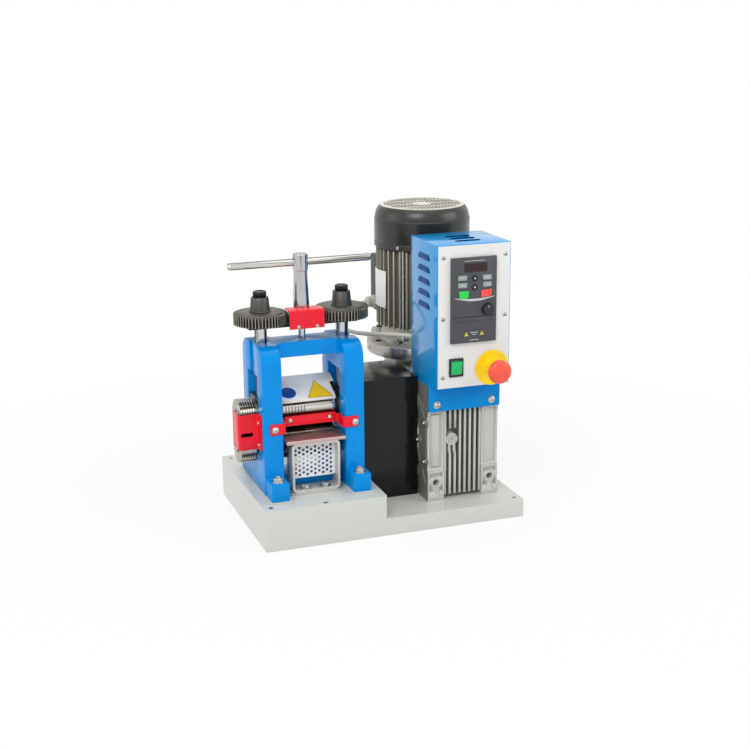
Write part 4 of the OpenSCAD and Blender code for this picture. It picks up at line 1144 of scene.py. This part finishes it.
control_box = box("control_box_folded", BX, BY, BZ, BW, BD, BT - BZ, "blue_sheet", 1.3, 3)
with_pocket(control_box, BY - 1, 5, "blue_sheet")
shade(control_box, 50)
stands_for(control_box, "control_box")
PANEL_IN = 1.2                            # thin blue rim that shows beside and above the panel
lo, hi = span("control_panel")
w, d, h = hi - lo
panel = box("control_panel_sheet", lo[0] + PANEL_IN, lo[1], lo[2] + 0.6, w - 2 * PANEL_IN, d - 0.8,
        h - 0.6 - PANEL_IN, "panel_grey", 0.5)
with_pocket(panel, 0, 14, "panel_grey")
shade(panel, 50)
backing = box("panel_backing", lo[0], lo[1] + 0.9, lo[2], w, d - 0.9, h, "blue_sheet", 0.5)
with_pocket(backing, 0, 14, "blue_sheet")
stands_for(join("control_panel_face", [panel, backing]), "control_panel")


def louver_hood(name, foot, head, out, place):
    """A pressed louver: a sheet that leaves the wall at its head and stands out at its foot.

    foot and head are (start, end, height) along the wall, out is how far the foot stands
    out, and place maps along, height and out to a point.
    """
    bm = bmesh.new()
    n, k = 18, 5
    rows = []
    for i in range(n + 1):
        f = i / n
        swell = math.sin(min(1.0, min(f, 1 - f) / 0.14) * math.pi / 2)
        row = []
        for j in range(k + 1):
            g = j / k
            a = ((head[0] + (head[1] - head[0]) * f) * (1 - g)
                 + (foot[0] + (foot[1] - foot[0]) * f) * g)
            h = head[2] + (foot[2] - head[2]) * g
            row.append(bm.verts.new(place(a, h, out * swell * g ** 0.8)))
        rows.append(row)
    for a, b in zip(rows, rows[1:]):
        for j in range(k):
            bm.faces.new((a[j], a[j + 1], b[j + 1], b[j]))
    bmesh.ops.recalc_face_normals(bm, faces=bm.faces)
    # painted shade: the hoods take the darker louver blue
    return to_obj(name, bm, "blue_louver", 50)


def on_side(a, h, out):
    return P(BX - 0.02 - out, a, h)


def on_top(a, h, out):
    return P(a, h, BT + 0.02 + out)


# painted shade: black slabs in the louver openings stand for the dark inside of the box
hoods, gap_shades = [], []
for i in range(5):
    z = 370.6 + 20.4 * i
    hoods.append(louver_hood("hood", (42.5, 95.0, z), (49.0, 89.0, z + 7.6), 2.8, on_side))
    gap_shades.append(slab("gap", (BX - 0.12, 43.5, z - 1.8), (BX + 0.04, 94.0, z + 4.0), "hollow"))
for y in (44.0, 67.0, 88.0):
    hoods.append(louver_hood("hood", (343.5, 391.5, y - 3.4), (348.0, 387.0, y + 3.4), 1.9, on_top))
    gap_shades.append(slab("gap", (345.5, y - 4.0, BT - 0.04), (389.5, y, BT + 0.10), "hollow"))
louvers = join("box_louvers", hoods)
louvers.modifiers.new("thick", "SOLIDIFY").thickness = 0.6 * MM
baked(louvers)
shade(louvers, 50)
rides(louvers)
rides(join("box_louver_gaps", gap_shades))


def cross_screw(name, where, d):
    """A pan head screw with a cross slot, seen from the front, in a countersink; the dark
    countersink ring and the dark slot are painted shade.
    """
    x, y, z = where
    sink = [(d / 2 + 0.5, 0.0), (d / 2 + 0.5, -0.12), (d / 2 - 0.3, -0.12)]
    head = [(d / 2, 0.0), (d / 2, -0.5), (d * 0.42, -1.0), (d * 0.25, -1.3), (0, -1.4)]
    parts = [lathe(name + "_sink", sink, where, "y", "socket", 28),
            lathe(name + "_head", head, where, "y", "zinc", 28)]
    for w, h in ((d * 0.62, d * 0.15), (d * 0.15, d * 0.62)):
        parts.append(box(name + "_slot", x - w / 2, y - 1.44, z - h / 2, w, 0.4, h, "socket", 0))
    return join(name, parts)


PANEL_Y, PANEL_SCREW_D = 9.0, 6.0
screws = [cross_screw(f"ps{i}", (x, PANEL_Y, z), PANEL_SCREW_D) for i, (x, z) in enumerate((
    (311.6, 461), (421.6, 461), (311.2, 359.2), (421.6, 359.2), (311.2, 260.0), (421.6, 260.0)))]
rides(join("panel_screws", screws))

# drive unit: body, display, keys, seams, dial seat and blank marks
dress("drive_unit", "drive_plastic", 0.9, 3)
F = 3.0                                   # front face of the drive unit
DIAL = (387.5, F, 372.5)


def key(name, pts, mat, t, b):
    """A key that stands t out of the front face."""
    return prism(name, pts, "y", F - t, t + 0.05, mat, b)


def mark(x, z, w, h, mat="print_white", out=0.04, t=0.06):
    """A flat mark or seam, whose front stands out of the front face."""
    return box("mark", x, F - out, z, w, t, h, mat, 0)


parts = [key("frame", rounded(345.6, 435.8, 41.0, 15.4, 1.4), "drive_edge", 0.5, 0.2),
        key("display", rounded(347.4, 437.6, 37.4, 11.8, 0.8), "display", 0.8, 0.15)]
SEGMENTS = [(0, z, 4.4, 0.7) for z in (0.0, 3.9, 7.8)] + [
    (x, z, 0.7, 3.1) for z in (0.7, 4.6) for x in (-0.5, 4.2)]
for digit in range(4):
    for x, z, w, h in SEGMENTS:
        parts.append(mark(350.4 + digit * 8.6 + x, 439.2 + z, w, h, "segment", 0.86, 0.1))
for x, z, w, h in ((334.6, 423.0, 16.0, 8.2), (334.6, 410.8, 16.0, 8.2),
        (378.6, 421.8, 15.4, 8.4), (378.6, 410.2, 15.4, 8.2)):
    parts.append(key("key", rounded(x, z, w, h, 1.4), "key_grey", 1.1, 0.35))
    parts.append(mark(x + 4.0, z + h / 2 - 0.5, w - 8.0, 1.0, out=1.16, t=0.1))
button = [(0, -1.1), (4.6, -1.1), (5.4, -0.6), (5.6, 0.05), (0, 0.05)]
for x, z, s in ((364.6, 425.6, 1), (364.2, 410.6, -1)):
    parts.append(lathe("round_key", button, (x, F, z), "y", "key_dark", 36))
    arrow = [(x - 2.0, z - 1.2 * s), (x + 2.0, z - 1.2 * s), (x, z + 1.9 * s)]
    parts.append(prism("arrow", arrow, "y", F - 1.18, 0.1, "print_white", 0))
green = [(336.6, 405.4), (353.6, 405.0), (353.6, 395.6), (351.5, 393.2), (340.0, 392.4),
        (337.2, 394.4)]
red = [(375.6, 405.0), (394.6, 406.2), (394.2, 396.6), (391.6, 394.6), (378.0, 392.6),
       (375.4, 394.4)]
parts += [key("run", green, "key_green", 1.5, 0.6), key("stop", red, "key_red", 1.5, 0.6)]
swing = [(329.0 + 71.0 * f, math.sin(math.pi * f), f) for f in (k / 16 for k in range(17))]
below = [(x, 394.0 - 6.2 * s - 0.5 * f) for x, s, f in swing]
above = [(x, 394.0 - 6.2 * s - 0.5 * f + 0.6 + 3.4 * s) for x, s, f in reversed(swing)]
parts += [prism("arc", below + above, "y", F - 0.5, 0.55, "arc_silver", 0),
        mark(323.9, 361.2, 79.2, 0.8, "hollow", 0.02, 0.08),
        mark(330.0, 354.0, 67.0, 0.5, "drive_edge", 0.25, 0.3),
        mark(346.0, 454.2, 36.0, 0.7)]
for x in (346.4, 373.9):
    triangle = [(x, 329.6), (x + 7.8, 329.6), (x + 3.9, 336.6)]
    parts.append(prism("triangle", triangle, "y", F - 0.06, 0.08, "tri_yellow", 0))
parts += [mark(x, z, w, 0.8) for x, z, w in ((357.2, 334.6, 13.6), (360.0, 331.2, 8.0),
        (356.0, 322.0, 16.0))]
parts.append(lathe("dial_seat", [(9.3, 0.05), (9.3, -0.5), (10.6, -0.7), (11.4, -0.2),
        (11.6, 0.05)], DIAL, "y", "drive_edge", 48))
rides(join("drive_unit_face", parts))

lo, hi = span("dial_knob")
FLUTE = ((-0.32, 8.35), (-0.14, 8.72), (0.14, 8.72), (0.32, 8.35))
knob = prism("knob", toothed(18, FLUTE, DIAL[0], DIAL[2]), "y", lo[1] + 0.4,
        hi[1] - lo[1] - 0.4, "dial_plastic", 0.35)
knob_cap = lathe("knob_cap", [(0, lo[1] + 0.6), (2.0, lo[1] + 0.3), (5.6, lo[1]),
        (7.4, lo[1] + 0.2), (8.2, lo[1] + 0.9)],
        (DIAL[0], 0, DIAL[2]), "y", "dial_plastic", 40)
pointer = box("pointer", DIAL[0] - 0.4, lo[1], DIAL[2] + 3.0, 0.8, 0.3, 4.2, "arc_silver", 0)
stands_for(join("dial_knob_moulded", [knob, knob_cap, pointer]), "dial_knob")

dress("switch_frame", "switch_black", 0.5)
dress("switch_rocker", "rocker_green", 0.7, 3)

# stop button
STOP = (399.5, 0, 270.5)
lo, hi = span("stop_collar")
y0, y1 = lo[1], hi[1]
prof = [(0, y1), (29.2, y1), (30.0, y1 - 0.6), (30.0, y1 - 1.4), (29.4, y1 - 2.0), (16.8, y1 - 2.0),
        (15.0, y1 - 2.6), (14.0, y1 - 3.8), (14.0, y0 + 0.8), (13.2, y0), (8.3, y0),
        (8.3, y1 - 0.4), (0, y1 - 0.4)]
stands_for(lathe("stop_collar_moulded", prof, STOP, "y", "stop_yellow", 80), "stop_collar")
lo, hi = span("stop_button")
y0 = lo[1]
shaft_end = min(hi[1], y1 - 6.0)          # stays clear of the bottom of the collar's bore
prof = [(r, y0 + t) for r, t in ((0, 0), (6, 0.15), (11, 0.8), (15.4, 2.2), (18.4, 4.4),
        (19.7, 6.8), (20.0, 9.0), (20.0, 12.4), (19.4, 14.2),
        (18.0, 15.0), (8.0, 15.0))] + [(8.0, shaft_end), (0, shaft_end)]
stands_for(lathe("stop_button_moulded", prof, STOP, "y", "stop_red", 80, 40.0), "stop_button")

# ---------------- finish of the CAD's own nodes
for node, obj in frame["nodes"].items():
    obj.data.materials.clear()
    obj.data.materials.append(M[SLOTS[node]])

# ---------------- floor, world and lamps


def seen_rays(tree):
    """1 for the rays of the picture itself and of its mirror and glass images, else 0."""
    path = add(tree, "LightPath").outputs
    total = path["Is Camera Ray"]
    for ray in ("Is Glossy Ray", "Is Transmission Ray"):
        total = add(tree, "Math", {0: total, 1: path[ray]}, operation="ADD",
                use_clamp=True).outputs[0]
    return total


def white_stage(name, near, far, share_near, share_far):
    """White floor: it keeps the object's shadow near by, and is plain white further out."""
    m = bpy.data.materials.new(name)
    m.use_nodes = True
    t = m.node_tree
    t.nodes.clear()
    lit = add(t, "BsdfDiffuse", {"Color": (0.86, 0.86, 0.86, 1)})
    plain = add(t, "Emission", {"Color": (1, 1, 1, 1), "Strength": 1.0})
    size = add(t, "VectorMath", {0: add(t, "TexCoord").outputs["Object"]}, operation="LENGTH")
    share = add(t, "MapRange", {"Value": size.outputs["Value"], "From Min": near, "From Max": far,
            "To Min": share_near, "To Max": share_far})
    part = add(t, "Math", {0: seen_rays(t), 1: share.outputs["Result"]}, operation="MULTIPLY")
    both = add(t, "MixShader", {0: part.outputs[0], 1: lit.outputs[0], 2: plain.outputs[0]})
    add(t, "OutputMaterial", {0: both.outputs[0]})
    return m


bpy.ops.mesh.primitive_plane_add(size=30, location=(0, 0, 0))
floor = bpy.context.object
floor.name = "floor"
floor.data.materials.append(white_stage("floor_white", 0.40, 1.05, 0.80, 1.0))

world = bpy.data.worlds.new("world")
scene.world = world
world.use_nodes = True
wt = world.node_tree
wt.nodes.clear()
sky = add(wt, "Background", {"Color": (0.95, 0.97, 1.0, 1), "Strength": 0.46})
white = add(wt, "Background", {"Color": (1, 1, 1, 1), "Strength": 1.0})
both = add(wt, "MixShader", {0: seen_rays(wt), 1: sky.outputs[0], 2: white.outputs[0]})
add(wt, "OutputWorld", {0: both.outputs[0]})


def lamp(name, where, height, size, watts):
    """A square area lamp, aimed at the object's axis at a height in metres."""
    d = bpy.data.lights.new(name, "AREA")
    d.energy = watts
    d.shape = "RECTANGLE"
    d.size = d.size_y = size
    o = link(bpy.data.objects.new(name, d))
    o.location = where
    aim = Vector((0, 0, height)) - Vector(where)
    o.rotation_euler = aim.to_track_quat("-Z", "Y").to_euler()


lamp("key", (-1.6, -2.2, 2.6), 0.25, 1.8, 56)
lamp("fill", (2.4, -1.6, 1.6), 0.25, 1.8, 26)
lamp("top", (0.2, 0.3, 2.8), 0.2, 2.2, 24)
lamp("left", (-2.6, 0.4, 1.2), 0.25, 1.6, 9)

scene.view_settings.view_transform = "Standard"
